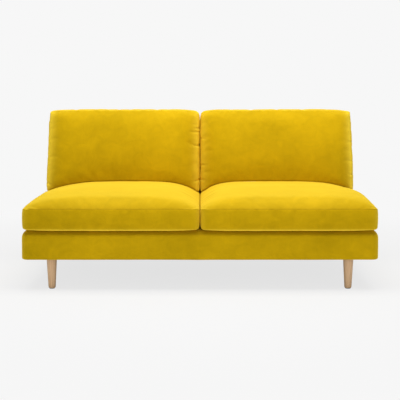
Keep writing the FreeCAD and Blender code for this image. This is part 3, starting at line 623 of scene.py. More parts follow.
def seat_cushion(settings, side):
    """One boxed seat cushion, crowned, filled and seamed."""
    low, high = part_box("seat_cushion_cover_right")
    draw = settings.seam_draw
    x0, x1 = low[0] + draw, high[0] - draw
    y0, y1 = low[1] + draw, high[1] - 0.001
    z0, z1 = low[2] + 0.0004, SEAT_SEAM
    zip_x = (low[0] + high[0]) / 2
    close_rows = (0.0035, 0.008, 0.013, 0.019, 0.026, 0.034, 0.043, 0.053)
    bm = grid_box(rows(x0, x1, settings.step, close_rows, zip_ends(zip_x)), rows(y0, y1, settings.step),
                  rows(z0, z1, settings.step, extra=zip_lines(SEAT_ZIP_Z)))
    corner, under = 0.024, 0.011
    swell_x, swell_y = 0.0015, 0.0025
    drawn_in, drawn_in_at_centre = 0.003, 0.0006
    place = bm.verts.layers.float_vector["place"]
    middle = Vector(((x0 + x1) / 2, (y0 + y1) / 2))
    half = Vector(((x1 - x0) / 2, (y1 - y0) / 2))
    inner_low = (x0 + corner, y0 + corner)
    inner_high = (x1 - corner, y1 - corner)
    for vert in bm.verts:
        p = vert.co.copy()
        for x_side in ((x0, -1), (x1, 1)):
            for y_side in ((y0, -1), (y1, 1)):
                turn_edge(p, 0, 1, (x_side, y_side), corner)
        across, along = (p.x - middle.x) / half.x, (p.y - middle.y) / half.y
        share = vert[place]
        full = math.sin(math.pi * share.z) if share.z > 0 else 0.0
        roll_in(p, inner_low, inner_high, corner, z0, -1, under)
        ends = drawn_in if across > 0 else drawn_in_at_centre
        p.x += (p.x - middle.x) / half.x * (swell_x * full - ends * along ** 2)
        if along < 0:
            p.y += (p.y - middle.y) / half.y * (swell_y * full - drawn_in * across ** 2)
        if share.z == 1.0:
            ahead = ease((0.06 - p.y) / 0.34)
            rear, front = (powers[side > 0][across > 0] for powers in (CROWN_POWERS, FRONT_POWERS))
            p.z += seat_crown((along + 1) / 2, (across + 1) / 2, y1 - y0, settings.crown, settings.shoulder,
                              rear * (1 - ahead) + front * ahead)
        else:  # the front's lower edge sags in the middle and lifts at the corners
            near_front = ease((y0 + 0.045 - p.y) / 0.045) * ease((z0 + 0.03 - p.z) / 0.03)
            p.z += near_front * (0.0040 * abs(across) ** 14 - 0.0030 * (1 - abs(across) ** 6))
        vert.co = Vector((side * p.x, p.y, p.z))
    soften(bm, 0.0010, 9.0, 3.0 * side)
    soften(bm, 0.0005, 28.0, 11.0 * side)
    bmesh.ops.recalc_face_normals(bm, faces=bm.faces)
    # Painted shade on the top: full on its seam lines, fading inside them over a finger's breadth.
    write_attribute(bm, "seam", lambda s, co: s.z == 1.0 and
                    (1.0 if is_rim(s.x, s.y) else seam_shade(abs(co.x) - x0, co.y - y0, x1 - x0, y1 - y0)))

    def painted_sheen(s, co):
        """Painted sheen: a bright rim along the lower edge, and bright bands along the upright ones."""
        rim = 1.3 * math.exp(-((co.z - z0 - 0.0005) / 0.0042) ** 2)
        band = (0.25 if s.x < 0.5 else 0.42) * side_band(abs(co.x), x0, x1, 0.020)
        return max(rim, band) if s.z < 1 else 0

    write_attribute(bm, "painted_sheen", painted_sheen)
    # Tone: the shift across the cushions and a fixed offset; painted light sets the left cushion's sides a little
    # lighter than its top.
    write_attribute(bm, "tone_and_painted_light", lambda s, co: side_tone(co.x, side) - (0.12 if side < 0 and s.z < 1.0 else 0.15))
    held = [v.index for v in bm.verts
            if v[place].z == 0.0 or (v[place].z == 1.0 and is_rim(v[place].x, v[place].y))]
    name = "seat_cushion_" + hand(side)
    piece = make_piece(name, bm, velvet())
    fill_cushion(piece, held, settings.seat_travel, settings)
    subdivide_once(piece)
    pucker_seams(piece, side, 0.0007)
    deck_front, front_fall = -0.402, 0.10
    for vert in piece.data.vertices:
        p = vert.co
        p.x = side * max(side * p.x, HALF_GAP)
        p.z = max(p.z, DECK + 0.0004 - front_fall * max(0.0, deck_front - p.y))
        p.y = min(p.y, high[1] - 0.0002)
        if p.y > high[1] - 0.02:
            sunk = zip_sink(side * p.x - zip_x, p.z - SEAT_ZIP_Z)
            if sunk > 0:
                p.y = min(p.y, high[1] - ZIP_DEPTH * sunk)
    nodes = ["seat_cushion_%s_%s" % (part, hand(side)) for part in ("cover", "wrap")]
    seat_on_frame(piece, name, "velvet", *nodes)
    return piece


def seam_shade(x, y, width, length):
    """Shade beside the seam round a panel, falling off over a finger's breadth inside it."""
    return 0.65 * math.exp(-max(0.0, min(x, y, width - x, length - y)) / 0.016)


def side_tone(x, side):
    """Tone shift across the cushions: low on the left cushions' outer half, high on the right ones."""
    return 0.60 if side > 0 else -0.10 + 0.95 * ease((x + 0.50) / 0.40)


def side_band(x, x0, x1, width):
    """1 along a cushion's upright edges, fading over the given width."""
    return math.exp(-(min(abs(x - x0), abs(x1 - x)) / width) ** 2)


def is_rim(a, b):
    """Whether a place on a side of a box, 0 to 1 each way, lies on that side's edge."""
    return a in (0.0, 1.0) or b in (0.0, 1.0)


def zip_sink(across, up):
    """1 inside the zip's bed, 0 outside, with a short slope between."""
    in_length = ease((ZIP_HALF_LENGTH + 0.0032 - abs(across)) / 0.003)
    return in_length * ease((ZIP_BED_HALF_WIDTH + 0.0002 - abs(up)) / 0.0035)


def pucker_seams(piece, seed, depth):
    """Draw the cloth into its seams in small uneven gathers."""
    mesh = piece.data
    seam = mesh.attributes["seam"].data
    normals = [v.normal.copy() for v in mesh.vertices]
    for index, vert in enumerate(mesh.vertices):
        share = seam[index].value
        if share > 0.01:
            gather = noise.noise(vert.co * 55.0 + Vector((seed * 5.0, 0, 0)))
            vert.co -= normals[index] * share * depth * (1.2 + gather)


# Back cushions
def back_place(x, d, h):
    """World place of a point d in front of the back and h up its slope from the deck."""
    return Vector((x, BACK_FOOT - d * math.cos(RECLINE) + h * math.sin(RECLINE),
                   DECK + d * math.sin(RECLINE) + h * math.cos(RECLINE)))


def back_depth(point):
    """Distance of a world place in front of the back, and its height up the slope."""
    y, z = point.y - BACK_FOOT, point.z - DECK
    return -y * math.cos(RECLINE) + z * math.sin(RECLINE), y * math.sin(RECLINE) + z * math.cos(RECLINE)


def foot_height(seat, x, d):
    """Height up the slope at which a back cushion's foot meets the seat cushion."""
    level = (SEAT_SEAM + 0.001 - DECK - d * math.sin(RECLINE)) / math.cos(RECLINE)
    start = back_place(x, d, 0.45)
    hit = seat.ray_cast(start, Vector((0, -math.sin(RECLINE), -math.cos(RECLINE))))[0]
    if hit is None:
        return level
    return max(level, back_depth(hit)[1] + 0.0010)


# (side of the sofa, edge of its cushion, height, length, slope, depth, width), metres
CREASES = (
    (-1, "inner", 0.741, 0.050, 0.10, 0.0043, 0.0053),
    (-1, "inner", 0.722, 0.060, 0.06, 0.0046, 0.0053),
    (-1, "inner", 0.648, 0.060, 0.16, 0.0051, 0.0060),
    (-1, "inner", 0.466, 0.055, -0.20, 0.0057, 0.0071),
    (-1, "outer", 0.452, 0.050, -0.35, 0.0064, 0.0084),
    (-1, "outer", 0.560, 0.040, 0.12, 0.0023, 0.0071),
    (1, "inner", 0.690, 0.045, -0.08, 0.0043, 0.0053),
    (1, "inner", 0.545, 0.050, 0.14, 0.0048, 0.0060),
    (1, "inner", 0.470, 0.045, -0.22, 0.0038, 0.0071),
    (1, "outer", 0.669, 0.040, 0.12, 0.0038, 0.0060),
    (1, "outer", 0.568, 0.045, -0.10, 0.0043, 0.0060),
    (1, "outer", 0.494, 0.045, 0.16, 0.0043, 0.0066),
)


def back_cushion(settings, side, seat_piece):
    """One back cushion standing on its seat cushion; built as a box, tall before its foot meets the seat."""
    low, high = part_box("back_cushion_cover_right")
    x0, x1 = low[0] + settings.seam_draw, high[0] + 0.0010
    tall, top = 0.425, BACK_CUSHION_TOP
    gap, spare = 0.0012, 0.0035  # room kept behind the cushion, and over and before it for the filling's push
    thinner, thinner_at = 0.026, 0.249  # by how much it is thinner, and how far from its fullest height
    crown_rise, foot_zone = 0.004, 0.26
    seat_mesh = bmesh.new()
    seat_mesh.from_mesh(seat_piece.data)
    seat = BVHTree.FromBMesh(seat_mesh)
    rear_foot = (SEAT_SEAM + 0.001 - DECK) / math.cos(RECLINE)
    zip_rows = [(line - rear_foot) / (top - rear_foot) * tall for line in zip_lines(BACK_ZIP_H)]
    bm = grid_box(rows(x0, x1, settings.step, extra=zip_ends(BACK_ZIP_X)), rows(0, THICKNESS, 0.014),
                  rows(0, tall, settings.step * 0.75, extra=zip_rows))
    place = bm.verts.layers.float_vector["place"]
    half = (x1 - x0) / 2
    inner, outer = (x0, -1), (x1, 1)
    rear, front, foot_end, top_end = (0, -1), (THICKNESS, 1), (0, -1), (tall, 1)
    outer_top_radius, narrowing = (0.012, 0.0130) if side < 0 else (0.004, 0.0095)
    edges = [(1, 2, (front, top_end), 0.042), (1, 2, (rear, top_end), 0.016), (1, 2, (front, foot_end), 0.016),
             (0, 2, (inner, top_end), 0.024), (0, 2, (outer, top_end), outer_top_radius)]
    for x_side in (inner, outer):
        edges += [(0, 2, (x_side, foot_end), 0.012), (0, 1, (x_side, front), 0.024),
                  (0, 1, (x_side, rear), 0.010)]
    for vert in bm.verts:
        p = vert.co.copy()
        for edge in edges:
            turn_edge(p, *edge)
        across = min(1.0, abs(p.x - x0 - half) / half)
        share = 1 - across ** 7
        taper = narrowing * ease((p.x - x0) / (x1 - x0)) * (p.z / tall) ** 2
        x = p.x - taper
        foot = foot_height(seat, side * x, gap + p.y * 0.85)
        up = foot + (top - spare - foot) * p.z / tall
        belly = thinner * (0.5 + 0.5 * share) * min(1.1, abs(up - FULLEST) / thinner_at) ** 2
        thick = THICKNESS_AT_SIDES + (THICKNESS - THICKNESS_AT_SIDES) * share - belly
        d = gap + p.y * (thick - spare) / THICKNESS
        foot = foot_height(seat, side * x, d)
        crown = crown_rise * (1 - across ** 6)
        if side > 0:
            crown -= 0.0010 * ease((p.x - x1 + 0.070) / 0.070)
        h = foot + (top - spare + crown - foot) * p.z / tall
        vert.co = back_place(side * x, d, h)
    seat_mesh.free()
    soften(bm, 0.0022, 6.5, 5.0 + 3.0 * side)
    soften(bm, 0.0008, 24.0, 17.0 * side)
    bmesh.ops.recalc_face_normals(bm, faces=bm.faces)
    write_attribute(bm, "seam", lambda s, co: s.y in (0.0, 1.0) and is_rim(s.x, s.z))
    # Painted light: the back cushions' tone rises towards their tops.
    write_attribute(bm, "tone_and_painted_light", lambda s, co: side_tone(co.x, side) + 0.75 * (co.z - 0.64) / 0.2)
    # Painted sheen in bands along the back cushion's upright edges, strongest towards its front.
    inner_band, outer_band = (0.9, 1.05) if side < 0 else (0.5, 1.3)
    write_attribute(bm, "painted_sheen", lambda s, co: side_band(abs(co.x), x0, x1 - narrowing * s.z, 0.030)
                    * (outer_band if s.x > 0.5 else inner_band) * (0.1 + 0.9 * ease((s.y - 0.45) / 0.4)))
    held = [v.index for v in bm.verts
            if v[place].z == 0.0 or (v[place].y in (0.0, 1.0) and is_rim(v[place].x, v[place].z))]
    name = "back_cushion_" + hand(side)
    piece = make_piece(name, bm, velvet())
    fill_cushion(piece, held, settings.back_travel, settings)
    subdivide_once(piece)
    pucker_seams(piece, side + 7, 0.0008)
    crease_cushion(piece, side, x0, x1)
    for vert in piece.data.vertices:
        p = vert.co
        d, h = back_depth(p)
        x = max(side * p.x, HALF_GAP)
        d = max(d, 0.0009)
        if d < 0.02:
            sunk = zip_sink(x - BACK_ZIP_X, h - BACK_ZIP_H)
            if sunk > 0:
                d = max(d, 0.0005 + ZIP_DEPTH * sunk)
        if h < foot_zone:
            h = max(h, foot_height(seat, side * x, d) - 0.0002)
        vert.co = back_place(side * x, d, h)
    nodes = ["back_cushion_%s_%s" % (part, hand(side)) for part in ("cover", "wrap")]
    seat_on_frame(piece, name, "velvet", *nodes)
    return piece


CREASE_SHADE = 0.35  # how much a crease adds to the seam's shade


def crease_cushion(piece, side, x0, x1):
    """Press the creases that run in from a back cushion's upright edges, and paint shade into them."""
    mesh = piece.data
    places = mesh.attributes["place"].data
    shade = mesh.attributes["seam"].data
    normals = [v.normal.copy() for v in mesh.vertices]
    creases = [crease[1:] for crease in CREASES if crease[0] == side]
    for index, vert in enumerate(mesh.vertices):
        in_front = ease((places[index].vector.y - 0.55) / 0.3)
        if in_front == 0:
            continue
        x = side * vert.co.x
        for edge, z, length, slope, depth, width in creases:
            inward = x - x0 if edge == "inner" else x1 - x
            if inward > length:
                continue
            off = (vert.co.z - z - slope * inward) / width
            if abs(off) < 3:
                fade = ease((length - inward) / length) * in_front
                vert.co -= normals[index] * depth * fade * (1 - 0.7 * off * off) * math.exp(-off * off)
                # Painted shade along each crease, added to the seam's painted shade.
                darker = CREASE_SHADE * fade * math.exp(-2 * off * off)
                shade[index].value = min(1.0, shade[index].value + darker)


# Zips
def placket(name, body, to_world):
    """The folded velvet round a zip: a thin frame with a slot, made flat and then placed."""
    columns, lines = 42, (-0.0176, -0.0060, 0.0060, 0.0176)
    bm = bmesh.new()
    bmesh.ops.create_grid(bm, x_segments=columns, y_segments=3, size=1.0)
    slot = [f for f in bm.faces if abs(f.calc_center_median().y) < 0.2 and abs(f.calc_center_median().x) < 0.96]
    bmesh.ops.delete(bm, geom=slot, context="FACES")
    for vert in bm.verts:
        end = math.copysign(0.0060, vert.co.x) if abs(vert.co.x) > 0.99 else 0.0
        vert.co = Vector((vert.co.x * ZIP_HALF_LENGTH + end, lines[round((vert.co.y + 1) * 1.5)], 0))
    bmesh.ops.solidify(bm, geom=bm.faces[:], thickness=0.0019)
    bmesh.ops.recalc_face_normals(bm, faces=bm.faces)
    sharp = [e for e in bm.edges if e.is_manifold and e.calc_face_angle() > 1.0]
    bmesh.ops.bevel(bm, geom=sharp, offset=0.0006, affect="EDGES", segments=2, profile=0.5, material=-1)
    top = max(v.co.z for v in bm.verts)
    for vert in bm.verts:
        wave = 0.00025 * noise.noise(Vector((vert.co.x * 60, vert.co.y * 90, 1.5)))
        vert.co = to_world(vert.co.x, vert.co.y + wave, 0.0003 + top - vert.co.z)
    bmesh.ops.recalc_face_normals(bm, faces=bm.faces)
    piece = make_piece(name, bm, velvet(), sharp=50)
    seat_on_frame(piece, body, "velvet")
    return piece


# Operators
class SOFA_OT_seat_cushions(bpy.types.Operator):
    """Make the two loose seat cushions"""
    bl_idname = "sofa.seat_cushions"
    bl_label = "Seat cushions"

    def execute(self, context):
        for side in (-1, 1):
            seat_cushion(context.scene.sofa_cushions, side)
        return {"FINISHED"}


class SOFA_OT_back_cushions(bpy.types.Operator):
    """Make the two loose back cushions, each standing on its seat cushion"""
    bl_idname = "sofa.back_cushions"
    bl_label = "Back cushions"

    def execute(self, context):
        for side in (-1, 1):
            back_cushion(context.scene.sofa_cushions, side, bpy.data.objects["seat_cushion_" + hand(side)])
        return {"FINISHED"}


class SOFA_OT_zips(bpy.types.Operator):
    """Make the velvet plackets round the zips and finish the zips"""
    bl_idname = "sofa.zips"
    bl_label = "Zips"

    def execute(self, context):
        seat_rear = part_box("seat_cushion_cover_right")[1][1]
        for side, word in ((-1, "left"), (1, "right")):
            placket("seat_placket_" + word, "seat_cushion_" + word,
                    lambda a, b, d: Vector((side * SEAT_ZIP_X + a, seat_rear - d, SEAT_ZIP_Z + b)))
            placket("back_placket_" + word, "back_cushion_" + word,
                    lambda a, b, d: back_place(side * BACK_ZIP_X + a, 0.0005 + d, BACK_ZIP_H + b))
            for kind in ("seat", "back"):
                dress(kind + "_cushion_zip_tape_" + word,
                      woven("zip_tape", (0.62, 0.40, 0.02), (0.34, 0.20, 0.01), 260.0))
                dress(kind + "_cushion_zip_slider_" + word,
                      plated("zip_brass", (0.55, 0.45, 0.22), (0.40, 0.31, 0.14)))
        return {"FINISHED"}


def dress(node, material):
    """Give a frame node its finish."""
    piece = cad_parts[node]
    if not piece.material_slots:
        piece.data.materials.append(material)
    for slot in piece.material_slots:
        slot.material = material


def plated(name, base, spot):
    """Plated metal with a fine speckle."""
    return mottled(name, base, spot, 700.0, 0.26, 0.00003, {"Metallic": 1.0})


def zinc_steel():
    """Zinc-plated steel of the bolts, plates, screws, clips and staples."""
    return plated("zinc_steel", (0.60, 0.60, 0.58), (0.42, 0.42, 0.41))


def to_edge(p, low, high):
    """Distance of a point of a level sheet from the sheet's nearest edge."""
    return min(p.x - low[0], high[0] - p.x, p.y - low[1], high[1] - p.y)


class SOFA_OT_base_cover(bpy.types.Operator):
    """Make the velvet cover of the base, with its rolled upper edge and turned-under hem"""
    bl_idname = "sofa.base_cover"
    bl_label = "Base cover"

    def execute(self, context):
        settings = context.scene.sofa_covers
        half, front, rear = 0.8530, -0.440, 0.4214
        bottom, top = 0.1508, DECK
        seam_y, seam_sink = -0.340, 0.0011
        front_swell, side_swell = 0.0012, 0.0006
        under_cushion_shade, under_cushion_shade_from, under_cushion_shade_height = 0.95, 0.2605, 0.018  # painted shade on the base's top roll, right under the overhanging seat cushions
        # Openings as (half width, front): over the deck, under the back, and below the base
        deck_open, back_open, base_open = (0.750, seam_y), (0.8125, 0.2856), (0.820, -0.410)
        half_widths = [opening[0] for opening in (deck_open, back_open, base_open)]
        xs = rows(-half, half, 0.014, extra=sorted([-w for w in half_widths] + half_widths))
        ys = rows(front, rear, 0.014, extra=(base_open[1], seam_y - 0.003, seam_y, seam_y + 0.003, back_open[1]))
        zs = rows(bottom, top, 0.012, margins=(0.0012, 0.0030, 0.0055, 0.010, 0.017, 0.026))
        bm = grid_box(xs, ys, zs)
        place = bm.verts.layers.float_vector["place"]
        edge = 1e-5
        gone = []
        for face in bm.faces:
            centre = face.calc_center_median()
            above, below = centre.z > top - edge, centre.z < bottom + edge
            openings = (deck_open, back_open) if above else (base_open,) if below else ()
            if centre.y > rear - edge or any(abs(centre.x) < w and centre.y > y for w, y in openings):
                gone.append(face)
        bmesh.ops.delete(bm, geom=gone, context="FACES")
        write_attribute(bm, "seam", lambda s, co: abs(co.y - seam_y) < edge)
        seam = bm.verts.layers.float["seam"]
        inner_low, inner_high = (-half + settings.corner, front + settings.corner), (half - settings.corner, 9.0)
        for vert in bm.verts:
            p = vert.co.copy()
            share = vert[place]
            for sign in (-1, 1):
                turn_edge(p, 0, 1, ((sign * half, sign), (front, -1)), settings.corner)
            roll_in(p, inner_low, inner_high, settings.corner, top, 1, settings.roll)
            roll_in(p, inner_low, inner_high, settings.corner, bottom, -1, settings.hem)
            if p.z < top - 0.002 and share.z not in (0.0, 1.0):
                full = math.sin(math.pi * share.z)
                if p.y < front + 0.004:
                    p.y -= front_swell * full * (1 - abs(p.x / half) ** 6)
                elif abs(p.x) > half - 0.004:
                    p.x += math.copysign(side_swell * full, p.x)
            p.y += (rear_plane(p.z) - 0.0027 - rear) * ease(share.y * 1.6 - 0.6)
            if vert[seam] > 0:
                inward = Vector((-math.copysign(1.0, p.x), 0, 0)) if p.z < top - 0.03 else Vector((0, 0, -1))
                p += inward * seam_sink
            vert.co = p
        soften(bm, settings.softness, 7.0, 2.0)
        soften(bm, settings.softness * 0.4, 30.0, 8.0)
        for vert in bm.verts:
            vert.co.z = min(vert.co.z, top)
            # Painted shade darkens the base's top roll where the seat cushions overhang it.
            vert[seam] = max(vert[seam], under_cushion_shade * ease((vert.co.z - under_cushion_shade_from) / under_cushion_shade_height))
        bmesh.ops.recalc_face_normals(bm, faces=bm.faces)
        piece = make_piece("base_cover", bm, velvet())
        add_thickness(piece, VELVET_THICKNESS)
        seat_on_frame(piece, "sofa", "velvet", "base_cover_front", "base_cover_left", "base_cover_right")
        return {"FINISHED"}


class SOFA_OT_back_cover(bpy.types.Operator):
    """Make the velvet over the front, top and sides of the back, and the panel that closes its outside"""
    bl_idname = "sofa.back_cover"
    bl_label = "Back cover"

    def execute(self, context):
        settings = context.scene.sofa_covers
        half, deep, bottom, top = 0.8425, 0.120, 0.2915, BACK_TOP
        flank, reach_down = 0.814, 0.0113
        bm = grid_box(rows(-half, half, 0.016), rows(0, deep, 0.012), rows(bottom, top, 0.014))
        place = bm.verts.layers.float_vector["place"]
        open_faces = [f for f in bm.faces
                      if all(v[place].y == 1.0 for v in f.verts) or all(v[place].z == 0.0 for v in f.verts)]
        bmesh.ops.delete(bm, geom=open_faces, context="FACES")
        write_attribute(bm, "seam", lambda s, co: s.y == 0.0 and (s.x in (0.0, 1.0) or s.z == 1.0))
        radius = settings.back_edge
        for vert in bm.verts:
            p = vert.co.copy()
            share = vert[place]
            stretched_y = share.y * (rear_plane(p.z) - 0.0026 - front_plane(p.z))
            near = min(1.0, share.y * 4)
            p.y = p.y * (1 - near) + stretched_y * near if p.y < 0.03 else stretched_y
            for x_side in ((-half, -1), (half, 1)):
                turn_edge(p, 0, 1, (x_side, (0, -1)), radius)
                turn_edge(p, 0, 2, (x_side, (top, 1)), radius)
            turn_edge(p, 1, 2, ((0, -1), (top, 1)), radius)
            if share.z < 1.0 and abs(p.x) > flank:  # the sides reach down beside the base's roll
                p.z -= reach_down * ease((abs(p.x) - flank) / 0.03) * ease((0.36 - p.z) / 0.065)
            vert.co = Vector((p.x, front_plane(p.z) + p.y, p.z))
        soften(bm, settings.softness, 6.0, 4.0)
        for vert in bm.verts:
            vert.co.y = max(vert.co.y, front_plane(vert.co.z) + 0.0001)
        bmesh.ops.recalc_face_normals(bm, faces=bm.faces)
        piece = make_piece("back_inner_cover_dressed", bm, velvet())
        add_thickness(piece, VELVET_THICKNESS)
        seat_on_frame(piece, "sofa", "velvet", "back_inner_cover")
        self.outer_panel(settings)
        return {"FINISHED"}

    def outer_panel(self, settings):
        """The panel on the outside: narrow over the back, a little wider over the base."""
        low, high, half, lower_half = 0.154, 0.781, 0.8418, 0.852
        wide, tall, thickness = 1.684, 0.627, 0.0019
        roll, turn = settings.roll - 0.001, 0.2515
        puff, stitch_depth, unevenness = 0.0030, 0.0005, 0.0009
        bm = grid_box(rows(-half, half, 0.018), [0.0, 0.0025],
                      rows(low, high, 0.016, extra=(turn, 0.258, 0.264, 0.270, 0.2755, 0.280)))
        place = bm.verts.layers.float_vector["place"]
        bmesh.ops.delete(bm, geom=faces_off(bm, 1, 1.0), context="FACES")
        write_attribute(bm, "seam", lambda s, co: is_rim(s.x, s.z))
        for vert in bm.verts:
            p = vert.co
            share = vert[place]
            rolled = max(0.0, roll ** 2 - max(0.0, p.z - turn) ** 2) ** 0.5
            p.x *= max(half, lower_half - roll + rolled) / half
            edge = min(min(share.x, 1 - share.x) * wide, min(share.z, 1 - share.z) * tall)
            full = ease(edge / 0.10)
            stitch = stitch_depth * math.cos(p.x * 520) * math.cos(p.z * 520) * ease(1 - edge / 0.012)
            tension = unevenness * noise.noise(Vector((p.x * 4.0, 3.0, p.z * 7.0))) * full
            p.y = rear_plane(p.z) - 0.0006 + puff * full - 0.0016 * ease(1 - edge / 0.006) + stitch + tension
        face_one_way(bm, 1, 1)
        piece = make_piece("back_outer_panel", bm, velvet())
        add_thickness(piece, thickness)
        seat_on_frame(piece, "sofa", "velvet", "back_outer_cover")


class SOFA_OT_linings(bpy.types.Operator):
    """Make the cloth under the seat cushions and the black cloth under the base, with its staples"""
    bl_idname = "sofa.linings"
    bl_label = "Linings"

    def execute(self, context):
        self.deck()
        self.dust_cover()
        return {"FINISHED"}

    def deck(self):
        """The lining under the seat cushions, sagging a little between its edges."""
        low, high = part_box("deck_cloth")
        bm = grid_box(rows(low[0], high[0], 0.020), rows(low[1], high[1], 0.018), [low[2], high[2]])
        bmesh.ops.delete(bm, geom=faces_off(bm, 2, 1.0), context="FACES")
        for vert in bm.verts:
            p = vert.co
            edge = to_edge(p, low, high)
            sag = 0.0012 * (1 + noise.noise(Vector((p.x * 7, p.y * 9, 0.3)))) * ease(edge / 0.06)
            p.z = high[2] - 0.0002 - sag - 0.0008 * ease(1 - edge / 0.006)
        face_one_way(bm, 2, 1)
        material = woven("deck_cloth", (0.56, 0.37, 0.02), (0.36, 0.22, 0.01), 160.0)
        piece = make_piece("deck_cloth_dressed", bm, material)
        add_thickness(piece, 0.0016)
        seat_on_frame(piece, "sofa", "deck_cloth", "deck_cloth")

    def dust_cover(self):
        """The black cloth under the base, with a window round each leg."""
        low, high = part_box("dust_cover")
        feet = [(side * 0.716, y) for side in (-1, 1) for y in (-0.370, 0.357243)]
        window = 0.034
        x_cuts = sorted({x + sign * window for x, _ in feet for sign in (-1, 1)})
        y_cuts = sorted({y + sign * window for _, y in feet for sign in (-1, 1)})
        bm = grid_box(rows(low[0], high[0], 0.024, extra=x_cuts), rows(low[1], high[1], 0.022, extra=y_cuts),
                      [low[2], high[2]])
        bmesh.ops.delete(bm, geom=faces_off(bm, 2, 0.0), context="FACES")
        middles = [(face, face.calc_center_median()) for face in bm.faces]
        cut = [face for face, c in middles
               if any(abs(c.x - x) < window and abs(c.y - y) < window for x, y in feet)]
        bmesh.ops.delete(bm, geom=cut, context="FACES")
        for vert in bm.verts:
            p = vert.co
            edge = to_edge(p, low, high)
            foot = min(max(abs(p.x - x), abs(p.y - y)) for x, y in feet) - window
            slack = ease(min(edge, foot) / 0.12)
            p.z = low[2] - slack * (0.0022 + 0.0014 * noise.noise(Vector((p.x * 5, p.y * 8, 2.0))))
        face_one_way(bm, 2, -1)
        material = woven("black_lining", (0.020, 0.020, 0.022), (0.006, 0.006, 0.007), 120.0)
        piece = make_piece("dust_cover_dressed", bm, material)
        add_thickness(piece, 0.0009)
        seat_on_frame(piece, "sofa", "black_lining", "dust_cover")
        self.staples(low, high)

    def staples(self, low, high):
        """Wire staples round the edge of the black cloth."""
        inset, pitch = 0.007, 0.070
        spots = []
        for y in (low[1] + inset, high[1] - inset):
            count = round((high[0] - low[0]) / pitch)
            spots += [(low[0] + 0.03 + i * (high[0] - low[0] - 0.06) / count, y, 0) for i in range(count + 1)]
        for x in (low[0] + inset, high[0] - inset):
            count = round((high[1] - low[1]) / pitch)
            spots += [(x, low[1] + 0.04 + i * (high[1] - low[1] - 0.08) / count, 1) for i in range(count + 1)]
        bm = bmesh.new()
        for number, (x, y, turned) in enumerate(spots):
            crown = bmesh.ops.create_cube(bm, size=1.0)["verts"]
            size = (0.0007, 0.0095, 0.0006) if turned else (0.0095, 0.0007, 0.0006)
            bmesh.ops.scale(bm, vec=size, verts=crown)
            skew = 0.0008 * math.sin(number * 2.4)
            bmesh.ops.translate(bm, vec=(x + skew, y - skew, low[2] - 0.0004), verts=crown)
        bmesh.ops.bevel(bm, geom=bm.edges[:], offset=0.00015, affect="EDGES", segments=1, profile=0.5,
                        material=-1)
        piece = make_piece("dust_cover_staples", bm, zinc_steel())
        seat_on_frame(piece, "sofa", "zinc_steel")


class SOFA_OT_legs(bpy.types.Operator):
    """Turn the four oak legs and finish their glides"""
    bl_idname = "sofa.legs"
    bl_label = "Legs"

    def execute(self, context):
        settings = context.scene.sofa_wood
        for name in ("front_left", "front_right", "rear_left", "rear_right"):
            low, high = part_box("leg_" + name)
            x, y = (low[0] + high[0]) / 2, (low[1] + high[1]) / 2
            wide, foot = (high[0] - low[0]) / 2, 0.017
            profile = [(0.0, low[2]), (foot - 0.0032, low[2]), (foot - 0.0009, low[2] + 0.0010),
                       (foot + 0.0001, low[2] + 0.0034), (foot + 0.0012, low[2] + 0.022),
                       (foot + (wide - foot) * 0.5, (low[2] + high[2]) / 2), (wide - 0.0002, high[2] - 0.004),
                       (wide, high[2] - 0.0014), (wide - 0.0014, high[2]), (0.0, high[2])]
            bm = bmesh.new()
            points = [bm.verts.new((x + r, y, z)) for r, z in profile]
            for first, second in zip(points, points[1:]):
                bm.edges.new((first, second))
            bmesh.ops.spin(bm, geom=bm.verts[:] + bm.edges[:], cent=(x, y, 0), axis=(0, 0, 1), dvec=(0, 0, 0),
                           angle=2 * math.pi, steps=settings.segments, use_merge=True, use_duplicate=False)
            bmesh.ops.remove_doubles(bm, verts=bm.verts, dist=1e-6)
            bmesh.ops.recalc_face_normals(bm, faces=bm.faces)
            piece = make_piece("turned_leg_" + name, bm, oak(), sharp=60)
            seat_on_frame(piece, "sofa", "oak", "leg_" + name)
        dress("leg_glides", mottled("glide_plastic", (0.52, 0.40, 0.28), (0.42, 0.32, 0.22), 500.0, 0.42, 0.0001))
        return {"FINISHED"}


class SOFA_OT_inner_parts(bpy.types.Operator):
    """Finish the timber, steel, foam, felt, webbing and board inside the sofa"""
    bl_idname = "sofa.inner_parts"
    bl_label = "Inner parts"

    def execute(self, context):
        foam = mottled("cushion_foam", (0.80, 0.72, 0.52), (0.68, 0.60, 0.41), 600.0, 0.86, 0.0006)
        finishes = {
            timber(False): ("front_rail", "seat_rail", "rear_rail", "back_top_rail", "back_cross_rails",
                            "corner_blocks", "side_rail_left", "side_rail_right", "centre_rail"),
            timber(True): ("back_post_left", "back_post_right", "back_post_centre"),
            foam: ("platform_pad", "base_padding_front", "base_padding_sides", "back_padding_front",
                   "back_padding_top", "back_padding_sides", "seat_cushion_core_left",
                   "seat_cushion_core_right", "back_cushion_core_left", "back_cushion_core_right"),
            zinc_steel(): ("frame_bolts", "frame_nuts", "leg_bolts", "leg_plates", "leg_plate_screws",
                           "spring_clips"),
            plated("spring_steel", (0.16, 0.16, 0.17), (0.09, 0.09, 0.10)): ("seat_springs",),
            woven("webbing", (0.10, 0.095, 0.085), (0.03, 0.03, 0.03), 110.0): ("back_webbing",),
            mottled("grey_felt", (0.22, 0.22, 0.23), (0.40, 0.39, 0.38), 300.0, 0.88, 0.0010): ("spring_felt",),
            mottled("board", (0.46, 0.34, 0.21), (0.34, 0.24, 0.14), 220.0, 0.80, 0.0003): ("tack_board",),
        }
        for material, nodes in finishes.items():
            for node in nodes:
                dress(node, material)
        return {"FINISHED"}


